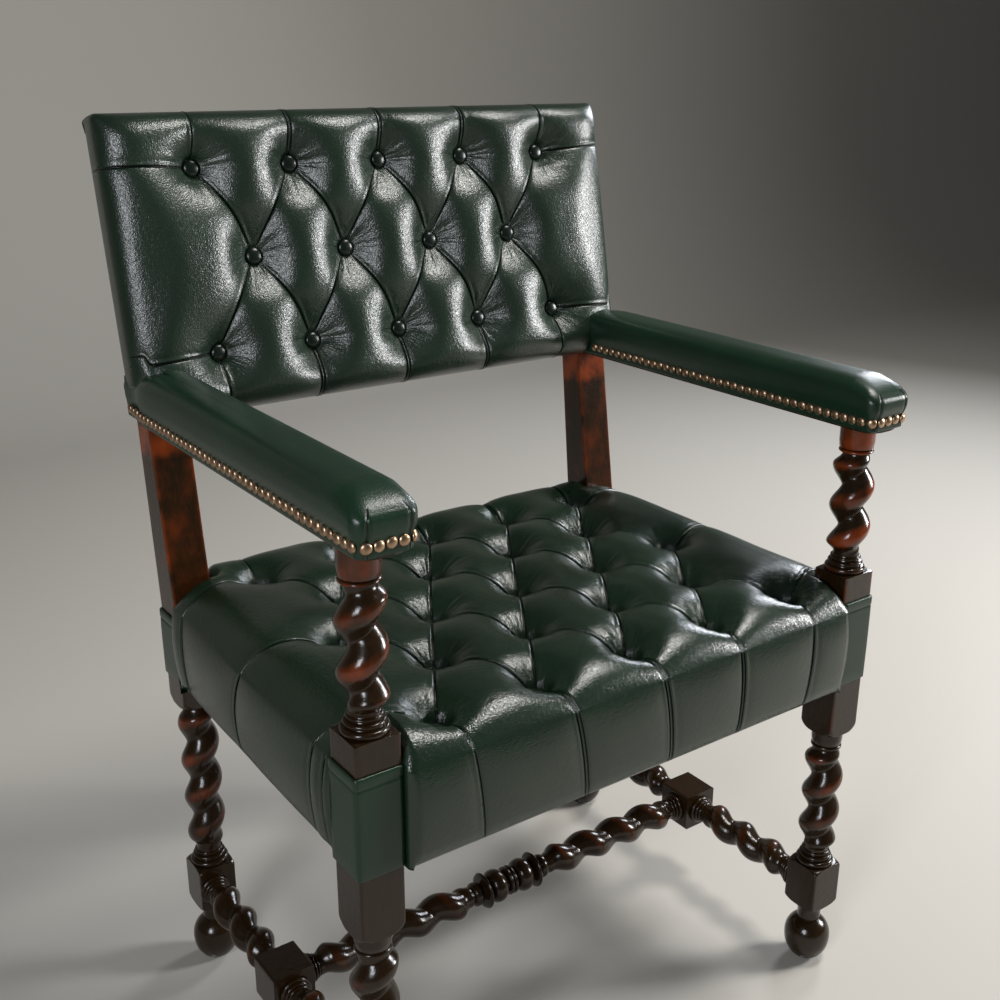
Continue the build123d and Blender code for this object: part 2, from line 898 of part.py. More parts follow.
def seat_cushion():
    sizes = (seat_crest, seat_crease, seat_tuft, seat_roll, seat_side_height)
    pad = buttoned_pad(
        lambda u, v, h: Vector(u, v, seat_pad_base + h),
        seat_half,
        seat_front,
        seat_rear,
        seat_rows,
        seat_button_step,
        sizes,
    )
    belly = (seat_bottom + seat_pad_base) / 2
    top = seat_pad_base + seat_side_height / 2
    skirt = Solid.make_loft(
        [seat_skirt(seat_bottom, seat_draw_in), seat_skirt(belly, 0), seat_skirt(top, seat_top_draw)],
        ruled=True,
    )
    x_end = side_x + rail_thickness / 2 + soft_gap
    cavity = box(-x_end, x_end, front_rail_y - soft_gap, rear_rail_y + soft_gap,
                 seat_bottom - overrun, seat_pad_base)
    cushion = pad + skirt - cavity - corner_posts(soft_gap)
    base = seat_pad_base + seat_tuft
    room = button_room(seat_crest)
    return cushion - [Location((x, y, base)) * room for x, y in button_places(seat_rows, seat_button_step)]


def seat_buttons():
    base = seat_pad_base + seat_tuft
    places = button_places(seat_rows, seat_button_step)
    return Compound([Location((x, y, base)) * button() for x, y in places])


def panel_place(u, v, h):
    """The frame of something that stands out from the back panel."""
    return Plane(origin=in_panel(u, v, h), x_dir=(1, 0, 0), z_dir=panel_out).location


def panel_frame(draw, h):
    """The panel's outline at a height over its plane, with its sides drawn in."""
    corners = [(-1, 0), (1, 0), (1, panel_height), (-1, panel_height)]
    return Wire.make_polygon([in_panel(s * (panel_half - draw), v, h) for s, v in corners])


def back_cushion():
    sizes = (back_crest, back_crease, back_tuft, back_roll, back_side_height)
    pad = buttoned_pad(
        lambda u, v, h: in_panel(u, v, back_pad_base + h),
        lambda v: panel_half,
        0,
        panel_height,
        back_rows,
        back_button_step,
        sizes,
    )
    rim = Solid.make_loft([panel_frame(0, back_pad_base + back_side_height / 3),
                           panel_frame(panel_rear_draw, -panel_rear)], ruled=True)
    inner = rear_x + half_square + soft_gap
    cavity = panel_box(-inner, inner, panel_edge - soft_gap, post_top + soft_gap,
                       -panel_rear - overrun, back_pad_base)
    cushion = pad + rim - cavity
    for s in sides.values():
        cushion -= panel_box(s * (rear_x - half_square - soft_gap), s * inner, -overrun, panel_edge,
                             -panel_rear - overrun, soft_gap)
    cushion -= [arm_room(side) for side in sides]
    cushion -= [arm_flank_room(side) for side in sides]
    room = button_room(back_crest)
    base = back_pad_base + back_tuft
    return cushion - [panel_place(u, v, base) * room for u, v in button_places(back_rows, back_button_step)]


def back_buttons():
    base = back_pad_base + back_tuft
    places = button_places(back_rows, back_button_step)
    return Compound([panel_place(u, v, base) * button() for u, v in places])


def outside_back():
    low = panel_rear + soft_gap
    half = panel_half - panel_rear_draw - soft_gap
    return panel_box(-half, half, soft_gap, panel_height - soft_gap, -low - outside_thickness, -low)


# Arms

def arm_tenon(side, gap):
    """The rear end of the arm board, let into the upright."""
    x = sides[side] * rear_x
    middle = (arm_underside + arm_board_top) / 2
    return box(x - arm_board_half / 2 - gap, x + arm_board_half / 2 + gap,
               back_foot_y - overrun, back_foot_y + tenon_length + gap,
               middle - tenon_thickness / 2 - gap, middle + tenon_thickness / 2 + gap)


def arm_room(side):
    """The room that the arm board takes through the back's padding."""
    s = sides[side]
    top = arm_board_thickness + 2 * soft_gap
    return panel_box(s * (arm_line - arm_board_half - soft_gap), s * (panel_half + overrun),
                     -overrun, top, -soft_gap, panel_front + back_crest)


def arm_flank_room(side):
    """The room that the arm's leather takes from the back panel, beside the upright."""
    s = sides[side]
    return box(s * (rear_x + half_square), s * (panel_half + overrun), front_y, rear_y + square,
               arm_underside - overrun, arm_top + soft_gap)


def arm_outline(side, half, front, rear):
    """The arm's outline in plan from its rear end round its front one, with rounded front corners."""
    x = sides[side] * arm_line
    corner = arm_corner * half / arm_cover_half
    points = [(x - half, rear)]
    for s in (-1, 1):
        angles = [90 * k / corner_chords for k in range(corner_chords + 1)]
        arc = [
            (x + s * (half - corner + corner * cos(radians(a))), corner - front - corner * sin(radians(a)))
            for a in angles
        ]
        points += arc if s < 0 else arc[::-1]
    return points + [(x + half, rear)]


def arm_board(side):
    rear = back_foot_y + arm_board_thickness
    front = arm_front - arm_cover_thickness - soft_gap
    outline = Polyline(*arm_outline(side, arm_board_half, front, rear), close=True)
    board = Location((0, 0, arm_underside)) * extrude(make_face(outline), arm_board_thickness)
    behind = panel_box(-front_spacing, front_spacing, -square, panel_height, -square, 0)
    hole = pin_radius + fit
    pin = spindle(plain((arm_underside - overrun, hole), (arm_underside + pin_length + fit, hole)))
    board = board - behind + arm_tenon(side, 0)
    return board - Location((sides[side] * front_x, 0, 0)) * pin


def arm_form(side, inset):
    """The arm's stuffed form, inside its leather by the inset."""
    leather_low = arm_board_top - arm_cover_drop
    rings = []
    for rise, swell in zip(arm_rise_shares, arm_swell_shares):
        z = leather_low + (arm_top - inset - leather_low) * rise
        half = arm_cover_half + arm_bulge * swell - inset
        front = arm_front + arm_bulge * swell * front_swell_share - inset
        rings.append([Vector(x, y, z) for x, y in arm_outline(side, half, front, rear_y + square)])
    return facets(rings) - panel_box(-front_spacing, front_spacing, -square, panel_height,
                                     -front_spacing, inset - upright_waist)


def arm_end(side):
    """Everything behind the face of the back panel, which ends the arm's padding and leather except
    beside the upright: there they run on to the upright's rear."""
    return panel_box(-sides[side] * front_spacing, sides[side] * (rear_x + half_square + soft_gap),
                     -square, panel_height, -front_spacing, back_pad_base + back_crest + soft_gap)


def arm_cover(side):
    outer = arm_form(side, 0)
    inner = arm_form(side, arm_cover_thickness)
    return outer - inner - arm_end(side)


def arm_padding(side):
    form = arm_form(side, arm_cover_thickness + soft_gap)
    under = box(-front_spacing, front_spacing, -front_spacing, rear_y, 0, arm_board_top + soft_gap)
    behind = panel_box(-front_spacing, front_spacing, -square, panel_height, -front_spacing, -soft_gap)
    return form - (under - behind) - arm_end(side)


def arm_nails(side):
    outline = arm_outline(side, arm_cover_half, arm_front, 0)
    rear_ends = [in_panel(0, nail_line, back_pad_base + back_crest + soft_gap).Y,
                 in_panel(0, nail_line, -upright_waist).Y]
    for k in (0, -1):
        outer = abs(outline[k][0]) > arm_line
        outline[k] = (outline[k][0], rear_ends[outer] - nail_radius)
    path = Polyline(*((x, y, nail_z) for x, y in outline))
    count = int(path.length / nail_pitch)
    start = (path.length - (count - 1) * nail_pitch) / 2
    crown = soft_gap + nail_height
    head = spindle(plain((soft_gap, nail_radius), (crown, nail_radius * nail_crown_share)), nail_sides)
    nails = []
    for k in range(count):
        share = (start + k * nail_pitch) / path.length
        along = path.tangent_at(share)
        place = Plane(origin=path.position_at(share), x_dir=(0, 0, 1), z_dir=along.cross(Vector(0, 0, 1)))
        nails.append(place.location * head)
    return Compound(nails)


# Leather on the corner posts

def front_post_wrap(side):
    s = sides[side]
    x = front_x + half_square
    x_in = front_x - half_square
    leather = box(s * x_in, s * (x + wrap_thickness), front_y - wrap_thickness, half_square,
                  rail_bottom, front_wrap_top)
    return leather - box(s * (x_in - overrun), s * x, front_y, half_square + overrun,
                         rail_bottom - overrun, front_wrap_top + overrun)


def rear_post_wrap(side):
    s = sides[side]
    x = rear_x + half_square
    x_in = rear_x - half_square
    y = leg_depth - half_square
    leather = box(s * x_in, s * (x + wrap_thickness), y, rear_y + wrap_thickness, rail_bottom, rear_wrap_top)
    return leather - box(s * (x_in - overrun), s * x, y - overrun, rear_y,
                         rail_bottom - overrun, rear_wrap_top + overrun)


# The chair

os.makedirs("parts", exist_ok=True)
for side in sides:
    save(f"front_post_{side}", front_post(side))
    save(f"rear_post_{side}", rear_post(side))
    save(f"side_stretcher_{side}", side_stretcher(side))
    save(f"side_seat_rail_{side}", side_seat_rail(side))
    for end in ("front", "rear"):
        save(f"corner_block_{end}_{side}", corner_block(side, end))
    save(f"front_post_wrap_{side}", front_post_wrap(side))
    save(f"rear_post_wrap_{side}", rear_post_wrap(side))
    save(f"arm_board_{side}", arm_board(side))
    save(f"arm_padding_{side}", arm_padding(side))
    save(f"arm_cover_{side}", arm_cover(side))
    save(f"arm_nails_{side}", arm_nails(side))
save("cross_stretcher", cross_stretcher())
save("front_seat_rail", front_seat_rail())
save("rear_seat_rail", rear_seat_rail())
screws = [
    corner_screw(side, end, screw_radius, screw_head_radius) for side in sides for end in ("front", "rear")
]
save("corner_block_screws", Compound(screws))
save("seat_webbing", seat_webbing())
save("seat_hessian", seat_sheet(rail_top + 2 * webbing_thickness, hessian_thickness))
save("seat_cushion", seat_cushion())
save("seat_buttons", seat_buttons())
save("bottom_cloth", seat_sheet(rail_bottom - cloth_thickness, cloth_thickness))
save("back_bottom_rail", back_rail(back_rail_lows[0]))
save("back_top_rail", back_rail(back_rail_lows[1]))
save("back_webbing", back_webbing())
save("back_hessian", back_hessian())
save("back_cushion", back_cushion())
save("back_buttons", back_buttons())
save("outside_back", outside_back())
print("chair", round(2 * (front_x + half_square)), "wide,", round(rear_reach - front_reach), "deep")
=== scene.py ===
import json
from math import cos, pi, radians, sin, sqrt, tan

import bpy
import numpy as np
from mathutils import Matrix, Vector


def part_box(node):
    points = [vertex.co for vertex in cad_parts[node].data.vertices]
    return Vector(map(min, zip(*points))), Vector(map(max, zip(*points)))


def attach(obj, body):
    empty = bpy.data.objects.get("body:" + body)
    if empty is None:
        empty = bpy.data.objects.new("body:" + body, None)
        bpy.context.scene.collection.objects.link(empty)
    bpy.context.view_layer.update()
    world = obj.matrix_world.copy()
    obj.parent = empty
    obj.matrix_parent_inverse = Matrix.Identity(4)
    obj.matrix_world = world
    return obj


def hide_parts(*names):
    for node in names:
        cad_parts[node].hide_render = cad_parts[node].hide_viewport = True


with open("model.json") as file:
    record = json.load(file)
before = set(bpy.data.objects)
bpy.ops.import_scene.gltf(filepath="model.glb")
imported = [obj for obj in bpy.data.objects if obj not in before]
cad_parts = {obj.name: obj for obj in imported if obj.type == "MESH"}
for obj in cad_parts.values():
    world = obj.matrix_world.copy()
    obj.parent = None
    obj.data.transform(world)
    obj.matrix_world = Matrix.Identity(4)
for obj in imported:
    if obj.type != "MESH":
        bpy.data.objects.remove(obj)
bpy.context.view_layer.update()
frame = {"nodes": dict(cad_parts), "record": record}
print("frame loaded:", len(frame["nodes"]), "nodes")

# Shapes are worked out in millimetres: x across, y back from the line of the front posts, z up.
postLow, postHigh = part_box("front_post_left")
frontLine = (postLow.y + postHigh.y) / 2
seed = np.random.default_rng(7)

chair = dict(
    frontX=280.0,            # middle of a front post
    rearX=269.0,             # middle of a rear post
    rearY=391.0,             # line of the rear posts
    half=20.5,               # half of a post's square
    sideX=274.5,             # middle of a side stretcher
    middleY=195.5,           # line of the cross stretcher
    stretcherZ=100.5,
)
sides = ((-1, "Left"), (1, "Right"))


def inMetres(points):
    return points / 1000 + np.array([0, frontLine, 0])


def addPiece(name, points, faces, material, nodes, attributes=None, crisp=None):
    mesh = bpy.data.meshes.new(name)
    mesh.from_pydata(inMetres(points).tolist(), [], [f for part in faces for f in part.tolist()])
    mesh.polygons.foreach_set("use_smooth", np.ones(len(mesh.polygons), bool))
    if crisp:
        mesh.set_sharp_from_angle(angle=radians(crisp))
    for key, value in (attributes or {}).items():
        kind, field = ("FLOAT", "value") if value.ndim == 1 else ("FLOAT_VECTOR", "vector")
        mesh.attributes.new(key, kind, "POINT").data.foreach_set(field, value.astype(np.float32).ravel())
    mesh.materials.append(material)
    piece = bpy.data.objects.new(name, mesh)
    bpy.context.scene.collection.objects.link(piece)
    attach(piece, "root")
    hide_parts(*nodes)
    return piece


def gridFaces(rows, columns, closed=False):
    # squares of a grid whose vertex number is row * columns + column
    r = np.arange(rows - 1)[:, None] * columns
    c = np.arange(columns if closed else columns - 1)[None, :]
    n = (c + 1) % columns
    return np.stack([r + c, r + n, r + columns + n, r + columns + c], -1).reshape(-1, 4)


def smoothStep(x, low, high):
    # 0 below low and 1 above high, with t * t * (3 - 2t) between them
    t = np.clip((x - low) / (high - low), 0, 1)
    return t * t * (3 - 2 * t)


def clustered(stops, counts):
    # places between the stops, closer together near each stop as (1 - cos) / 2 makes them
    places = [stops[:1]]
    for a, b, count in zip(stops, stops[1:], counts):
        places.append(a + (b - a) * (1 - np.cos(pi * np.arange(1, count + 1) / count)) / 2)
    return np.concatenate(places)


# ---- materials

def fromHex(text):
    # an sRGB hex colour as linear values
    value = np.array([int(text[k:k + 2], 16) for k in (1, 3, 5)]) / 255
    linear = np.where(value <= 0.04045, value / 12.92, ((value + 0.055) / 1.055) ** 2.4)
    return (*linear, 1.0)


def newMaterial(name, **shader):
    # a material with its principled shader's plain values, its nodes and that shader
    material = bpy.data.materials.new(name)
    material.use_nodes = True
    tree = material.node_tree
    principled = tree.nodes["Principled BSDF"]
    for key, value in shader.items():
        socket = principled.inputs[key.replace("_", " ")]
        socket.default_value = fromHex(value) if isinstance(value, str) else value
    return material, tree, principled


def addNode(tree, kind, links=None, outputs=None, **settings):
    # a node with its settings, its input values or links by input name or number, and links onward
    node = tree.nodes.new("ShaderNode" + kind)
    for key, value in settings.items():
        setattr(node, key, value)
    for key, value in (links or {}).items():
        if isinstance(value, bpy.types.NodeSocket):
            tree.links.new(value, node.inputs[key])
        elif isinstance(value, str):
            node.inputs[key].default_value = fromHex(value)
        else:
            node.inputs[key].default_value = value
    for key, socket in (outputs or {}).items():
        tree.links.new(node.outputs[key], socket)
    return node


leatherLook = dict(
    deep="#0E1B11",
    worn="#172D1D",
    roughness=0.26,
    gloss=0.62,
    grainSize=2.1,           # mm between the pores of the pebble grain, drawn about twice as coarse to show
    grainDepth=0.62,
    rayDepth=0.55,
)


def glazedHide(name, look, folded=False):
    # Finished cow hide: a dyed green skin under a glossy glaze. Its grain breaks the highlights into
    # specks, and the pull of the buttons draws fine rays out of them.
    material, tree, principled = newMaterial(
        name, Roughness=look["roughness"], IOR=1.5, Specular_IOR_Level=look["gloss"])
    place = addNode(tree, "TexCoord").outputs["Object"]
    broad = addNode(tree, "TexNoise", {"Vector": place, "Scale": 14.0, "Detail": 3.0}).outputs["Fac"]
    tone = addNode(tree, "Mix", {0: broad, 6: look["deep"], 7: look["worn"]},
                   data_type="RGBA").outputs[2]
    pores = addNode(tree, "TexVoronoi", {"Vector": place, "Scale": 1000 / look["grainSize"]},
                    feature="DISTANCE_TO_EDGE").outputs["Distance"]
    pebble = addNode(tree, "TexNoise",
                     {"Vector": place, "Scale": 1000 / look["grainSize"] / 1.6, "Detail": 2.0}).outputs["Fac"]
    grain = addNode(tree, "Math", {0: pores, 1: pebble}, operation="ADD").outputs[0]
    bump = addNode(tree, "Bump", {"Height": grain, "Strength": look["grainDepth"], "Distance": 0.0005})
    if folded:
        rayPlace = addNode(tree, "Attribute", attribute_name="rayPlace").outputs["Vector"]
        pull = addNode(tree, "Attribute", attribute_name="pull").outputs["Fac"]
        streak = addNode(tree, "TexNoise", {"Vector": rayPlace, "Scale": 1.0, "Detail": 2.0}).outputs["Fac"]
        centred = addNode(tree, "Math", {0: streak, 1: 0.5}, operation="SUBTRACT").outputs[0]
        pulled = addNode(tree, "Math", {0: centred, 1: pull}, operation="MULTIPLY").outputs[0]
        bump = addNode(tree, "Bump", {"Height": pulled, "Strength": look["rayDepth"],
                                      "Distance": 0.0013, "Normal": bump.outputs[0]})
        # Painted shade along the creases: the fold attribute is each point's distance from its crease, and close to it
        # the hide is mixed to near black, as the shade in the fold.
        gap = addNode(tree, "Attribute", attribute_name="fold").outputs["Fac"]
        line = addNode(tree, "MapRange",
                       {"Value": gap, "From Min": 0.2, "From Max": 1.3, "To Min": 0.0, "To Max": 1.0},
                       interpolation_type="SMOOTHSTEP").outputs[0]
        bump = addNode(tree, "Bump", {"Height": line, "Strength": 0.8,
                                      "Distance": 0.0012, "Normal": bump.outputs[0]})
        tone = addNode(tree, "Mix", {0: line, 6: "#050D08", 7: tone},
                       data_type="RGBA").outputs[2]
    tree.links.new(tone, principled.inputs["Base Color"])
    tree.links.new(bump.outputs[0], principled.inputs["Normal"])
    return material


woodLook = dict(dark="#100904", body="#30200E", rubbed="#8A3A14", roughness=0.2)


def waxedOak(name, look, carried=True):
    # Old oak, stained nearly black, waxed and rubbed by hands and cloths: red-brown on ridges and edges,
    # with fine grain along the piece. Its own vector attribute holds the place with z along the grain.
    material, tree, principled = newMaterial(
        name, Roughness=look["roughness"], IOR=1.5, Specular_IOR_Level=0.42)
    place = addNode(tree, "Attribute", attribute_name="woodPlace").outputs["Vector"]
    if not carried:
        whole = addNode(tree, "TexCoord").outputs["Object"]
        place = addNode(tree, "VectorMath", {0: whole, "Scale": 1000.0}, operation="SCALE").outputs[0]
    # rub: wear on the ridges and edges, scaled by height, and on the front posts partly painted light
    rub = addNode(tree, "Attribute", attribute_name="rub").outputs["Fac"]
    stretched = addNode(tree, "VectorMath", {0: place, 1: (0.55, 0.55, 0.03)}, operation="MULTIPLY").outputs[0]
    grain = addNode(tree, "TexNoise", {"Vector": stretched, "Scale": 1.0, "Detail": 4.0}).outputs["Fac"]
    blotchAt = addNode(tree, "VectorMath", {0: place, 1: (0.045, 0.045, 0.03)}, operation="MULTIPLY").outputs[0]
    blotch = addNode(tree, "TexNoise", {"Vector": blotchAt, "Scale": 1.0, "Detail": 3.0}).outputs["Fac"]
    tone = addNode(tree, "Mix", {0: grain, 6: look["dark"], 7: look["body"]},
                   data_type="RGBA").outputs[2]
    spread = addNode(tree, "Math", {0: rub, 1: blotch}, operation="MULTIPLY").outputs[0]
    worn = addNode(tree, "MapRange",
                   {"Value": spread, "From Min": 0.18, "From Max": 0.62, "To Min": 0.0, "To Max": 0.8},
                   interpolation_type="SMOOTHSTEP").outputs[0]
    tone = addNode(tree, "Mix", {0: worn, 6: tone, 7: look["rubbed"]},
                   data_type="RGBA").outputs[2]
    tree.links.new(tone, principled.inputs["Base Color"])
    nicks = addNode(tree, "TexNoise", {"Vector": place, "Scale": 0.16, "Detail": 5.0}).outputs["Fac"]
    bump = addNode(tree, "Bump", {"Height": nicks, "Strength": 0.25, "Distance": 0.0012})
    bump = addNode(tree, "Bump", {"Height": grain, "Strength": 0.12, "Distance": 0.0004,
                                  "Normal": bump.outputs[0]})
    tree.links.new(bump.outputs[0], principled.inputs["Normal"])
    return material


def planedTimber():
    # Beech rails as the saw and plane left them: pale, straight-grained and matt.
    material, tree, principled = newMaterial("planed_beech", Roughness=0.62, IOR=1.5)
    place = addNode(tree, "TexCoord").outputs["Object"]
    stretched = addNode(tree, "VectorMath", {0: place, 1: (40.0, 400.0, 400.0)}, operation="MULTIPLY").outputs[0]
    grain = addNode(tree, "TexNoise", {"Vector": stretched, "Scale": 1.0, "Detail": 4.0}).outputs["Fac"]
    addNode(tree, "Bump", {"Height": grain, "Strength": 0.2, "Distance": 0.0005},
            {0: principled.inputs["Normal"]})
    tree.links.new(addNode(tree, "Mix", {0: grain, 6: "#8A6239", 7: "#B98E5C"},
                           data_type="RGBA").outputs[2], principled.inputs["Base Color"])
    return material


def wovenCloth(name, dark, light, thread):
    # Jute or cotton in plain weave. Threads cross every few tenths of a millimetre to a few millimetres.
    material, tree, principled = newMaterial(name, Roughness=0.9, IOR=1.45)
    place = addNode(tree, "TexCoord").outputs["Object"]
    bands = []
    for direction in ("X", "Y"):
        bands.append(addNode(tree, "TexWave",
                             {"Vector": place, "Scale": 1000 / thread / (2 * pi) / 3, "Distortion": 0.6, "Detail": 1.0},
                             wave_type="BANDS", bands_direction=direction).outputs["Fac"])
    weave = addNode(tree, "Math", {0: bands[0], 1: bands[1]}, operation="MULTIPLY").outputs[0]
    tree.links.new(addNode(tree, "Mix", {0: weave, 6: dark, 7: light},
                           data_type="RGBA").outputs[2], principled.inputs["Base Color"])
    addNode(tree, "Bump", {"Height": weave, "Strength": 0.5, "Distance": 0.0006},
            {0: principled.inputs["Normal"]})
    return material


def metal(name, dull, bright, roughness):
    # Solid brass or steel, tarnished in patches at random.
    material, tree, principled = newMaterial(name, Metallic=1.0, Roughness=roughness)
    place = addNode(tree, "TexCoord").outputs["Object"]
    tarnish = addNode(tree, "TexNoise", {"Vector": place, "Scale": 260.0, "Detail": 3.0}).outputs["Fac"]
    tree.links.new(addNode(tree, "Mix", {0: tarnish, 6: dull, 7: bright},
                           data_type="RGBA").outputs[2], principled.inputs["Base Color"])
    addNode(tree, "Bump", {"Height": tarnish, "Strength": 0.1, "Distance": 0.0003},
            {0: principled.inputs["Normal"]})
    return material


backHide = glazedHide("glazed_cow_hide_back", dict(leatherLook, roughness=0.32, gloss=0.75), folded=True)
seatHide = glazedHide("glazed_cow_hide_seat", dict(leatherLook, grainDepth=0.5), folded=True)
flatLook = dict(leatherLook, deep="#11231A", worn="#1A3522", grainDepth=0.3, gloss=0.4, roughness=0.32)
plainHide = glazedHide("glazed_cow_hide", flatLook)
# Painted shade: the buttons' hide is darker than the rest, for the shade of the pits they sink into.
shadedButtonHide = glazedHide("glazed_cow_hide_buttons", dict(leatherLook, deep="#08110B", worn="#0E1B12", grainDepth=0.2,
                                                        gloss=0.45))
oak = waxedOak("waxed_oak", woodLook)
boardOak = waxedOak("waxed_oak_boards", woodLook, carried=False)
beech = planedTimber()
brass = metal("antiqued_brass", "#86694F", "#CDB093", 0.36)
steel = metal("plain_steel", "#55585C", "#8C9095", 0.4)
print("materials made")

# ---- turned work

turn = np.radians(np.unique(np.concatenate(
    [np.arange(0, 360, 5.0)] + [45 + 90 * k + np.array([-3.5, -2.0, -1.0, 1.0, 2.0, 3.5]) for k in range(4)])))
squareReach = (np.abs(np.cos(turn)) ** 28 + np.abs(np.sin(turn)) ** 28) ** (-1 / 28)

twistLook = dict(roundness=0.72, rubFrom=0.35, fade=0.3)    # fade: share of a pitch at each end


def turned(heights, radii, rub=None):
    # a lathe profile as rings: each height has one radius all round
    heights, radii = np.asarray(heights, float), np.asarray(radii, float)
    rub = np.clip((radii - 12) / 9, 0, 1) * 0.6 if rub is None else np.broadcast_to(rub, radii.shape)
    return heights, np.repeat(radii[:, None], len(turn), 1), np.repeat(rub[:, None], len(turn), 1)


def bead(low, high, inner, outer, count=9):
    # half a round: inner + (outer - inner) * sin, from low to high
    a = np.linspace(0, pi, count)
    return (low + high) / 2 - (high - low) / 2 * np.cos(a), inner + (outer - inner) * np.sin(a)


def endToEnd(parts):
    # profiles or sections one after the other: each of their arrays is joined with its fellows
    return [np.concatenate(fellows) for fellows in zip(*parts)]


def joined(*profiles):
    return turned(*endToEnd(profiles))


def block(low, high, half, lowShoulder, highShoulder, count=14):
    # a square whose corners a lathe rounds at its ends: the smaller of the square's reach and an ellipse
    # that runs from the side to the corner over each shoulder
    z = np.unique(np.concatenate([
        low + lowShoulder * (1 - np.cos(np.linspace(0, pi / 2, count))),
        high - highShoulder * (1 - np.cos(np.linspace(0, pi / 2, count))),
        np.linspace(low + lowShoulder, high - highShoulder, 6)]))
    corner = half * sqrt(2)
    t = np.ones_like(z)
    if lowShoulder:
        t = np.minimum(t, (z - low) / lowShoulder)
    if highShoulder:
        t = np.minimum(t, (high - z) / highShoulder)
    lathe = half + (corner - half) * np.sqrt(1 - (1 - np.clip(t, 0, 1)) ** 2)
    reach = np.minimum(half * squareReach[None, :], lathe[:, None])
    edge = np.clip((reach / half - 1.3) / 0.1, 0, 1)
    return z, reach, 0.38 + 0.5 * edge


def rope(low, high, crest, groove, neck, angleAt, pitch):
    # one-start twist: at each height the radius is the groove's plus the rest of the crest times
    # ((1 + cos) / 2) ^ roundness of the angle from the ridge, which turns once in a pitch
    z = np.linspace(low, high, int(high - low) + 1)
    ridge = radians(angleAt[1]) + 2 * pi * (z - angleAt[0]) / pitch
    lobe = ((1 + np.cos(turn[None, :] - ridge[:, None])) / 2) ** twistLook["roundness"]
    fade = pitch * twistLook["fade"]
    swell = smoothStep(z, low, low + fade) * smoothStep(-z, -high, -high + fade)
    reach = neck + swell[:, None] * (groove - neck + (crest - groove) * lobe)
    return z, reach, np.clip((lobe - twistLook["rubFrom"]) / (1 - twistLook["rubFrom"]), 0, 1) * swell[:, None]


def turnedSurface(sections, bend=None):
    # rings of the sections carried up the axis, closed by a middle vertex at each end
    z, reach, rub = endToEnd(sections)
    x, y = reach * np.cos(turn), reach * np.sin(turn)
    if bend is not None:
        x, y = bend(z, x, y)
    local = np.stack([x, y, np.repeat(z[:, None], len(turn), 1)], -1).reshape(-1, 3)
    rows, columns = len(z), len(turn)
    faces = [gridFaces(rows, columns, closed=True)]
    ends = np.array([local[:columns].mean(0), local[-columns:].mean(0)])
    c = np.arange(columns)
    n = (c + 1) % columns
    last = (rows - 1) * columns
    faces.append(np.stack([n, c, np.full(columns, rows * columns)], -1))
    faces.append(np.stack([last + c, last + n, np.full(columns, rows * columns + 1)], -1))
    rub = np.append(rub.ravel(), [0, 0])
    return np.concatenate([local, ends]), faces, rub


rubByHeight = dict(heights=(150.0, 450.0, 596.0, 604.0), share=(0.5, 0.95, 0.95, 2.6))


def addTurned(name, nodes, sections, place, bend=None, worn=1.0):
    # the rubbed red is scaled by height: half of it low down at the stretchers, nearly all of it from the seat up, and
    # most of it on the collars under the arms; worn scales it for the whole piece
    local, faces, rub = turnedSurface(sections, bend)
    points = place(local)
    rub = np.clip(rub * worn * np.interp(points[:, 2], rubByHeight["heights"], rubByHeight["share"]), 0, 1)
    return addPiece(name, points, faces, oak, nodes, {"woodPlace": local, "rub": rub}, crisp=38)


foot = dict(ballRadius=25.0, ballMiddle=29.0, below=31.0, above=25.5, grooveAt=9.0, grooveDepth=0.9, base=1.5)


def footProfile():
    # a ball that is a little flat on its base: radius * sqrt(1 - (distance from its middle / reach) ^ 2.2)
    z = np.concatenate([np.linspace(foot["base"], 8, 6), np.linspace(8.2, 9.8, 7), np.linspace(10.4, 51.5, 26)])
    middle = foot["ballMiddle"]
    away = np.where(z < middle, (middle - z) / foot["below"], (z - middle) / foot["above"])
    radius = foot["ballRadius"] * np.sqrt(1 - away ** 2.2)
    radius -= foot["grooveDepth"] * np.exp(-((z - foot["grooveAt"]) / 0.45) ** 2)
    flatEdge = (np.array([0, 0.3]), np.array([radius[0] - 2.2, radius[0] - 0.9]))
    neck = (np.array([53.0, 57, 62, 67, 71, 73.0, 74.0]), np.array([13.0, 12.6, 12.8, 13.6, 15.4, 17.2, 18.5]))
    z, radius = endToEnd([flatEdge, (z, radius), neck])
    return turned(z, radius, rub=0.25 + 0 * z)


def ringsOnBlock(low):
    # a large ring, a hollow and two finer rings under a twist
    return joined(
        (np.array([low]), np.array([18.4])),
        bead(low + 0.2, low + 6.2, 17.4, 20.2),
        (np.array([low + 6.6, low + 7.4]), np.array([15.6, 15.2])),
        bead(low + 7.6, low + 11.6, 15.2, 17.4),
        (np.array([low + 12.2, low + 13.2]), np.array([13.6, 13.2])),
        bead(low + 13.4, low + 16.4, 13.4, 15.2, 7),
        (np.array([low + 17.2, low + 18.2]), np.array([13.0, 13.0])),
    )


def collar(low, high, radius, neck=13.0):
    # a plain drum with a small bead at its lower edge
    return joined(
        (np.array([low]), np.array([neck])),
        bead(low + 0.2, low + 4.2, neck + 1.2, radius - 0.2),
        (np.array([low + 4.8, low + 6.0, low + 12.0, high - 3, high]),
         np.array([radius - 1.5, radius - 0.6, radius, radius, radius + 0.3])),
    )


posts = dict(
    frontLower={-1: (146.0, 60.0), 1: (215.0, 127.7)},       # height and angle of a ridge
    frontUpper={-1: (549.0, -28.5), 1: (546.5, 127.7)},
    rearLower={-1: (232.0, -20.1), 1: (146.0, 200.0)},
    frontPitch=41.5,
    upperPitch={-1: 43.0, 1: 42.0},
    rearPitch=45.0,
    seatRake=8.6,
    backRake=11.0,
    knee=436.0,              # heights where an upright starts to lean, meets the panel's foot, and ends
    panelFoot=632.0,
    head=908.0,
    deepAtFoot=31.0,         # depth of the upright at the panel's foot and at its head
    deepAtHead=28.0,
    headWay=(0.19, 0.98),    # sine and cosine of the lean at the head
)


def atPost(x, y):
    return lambda points: points + np.array([x, y, 0])


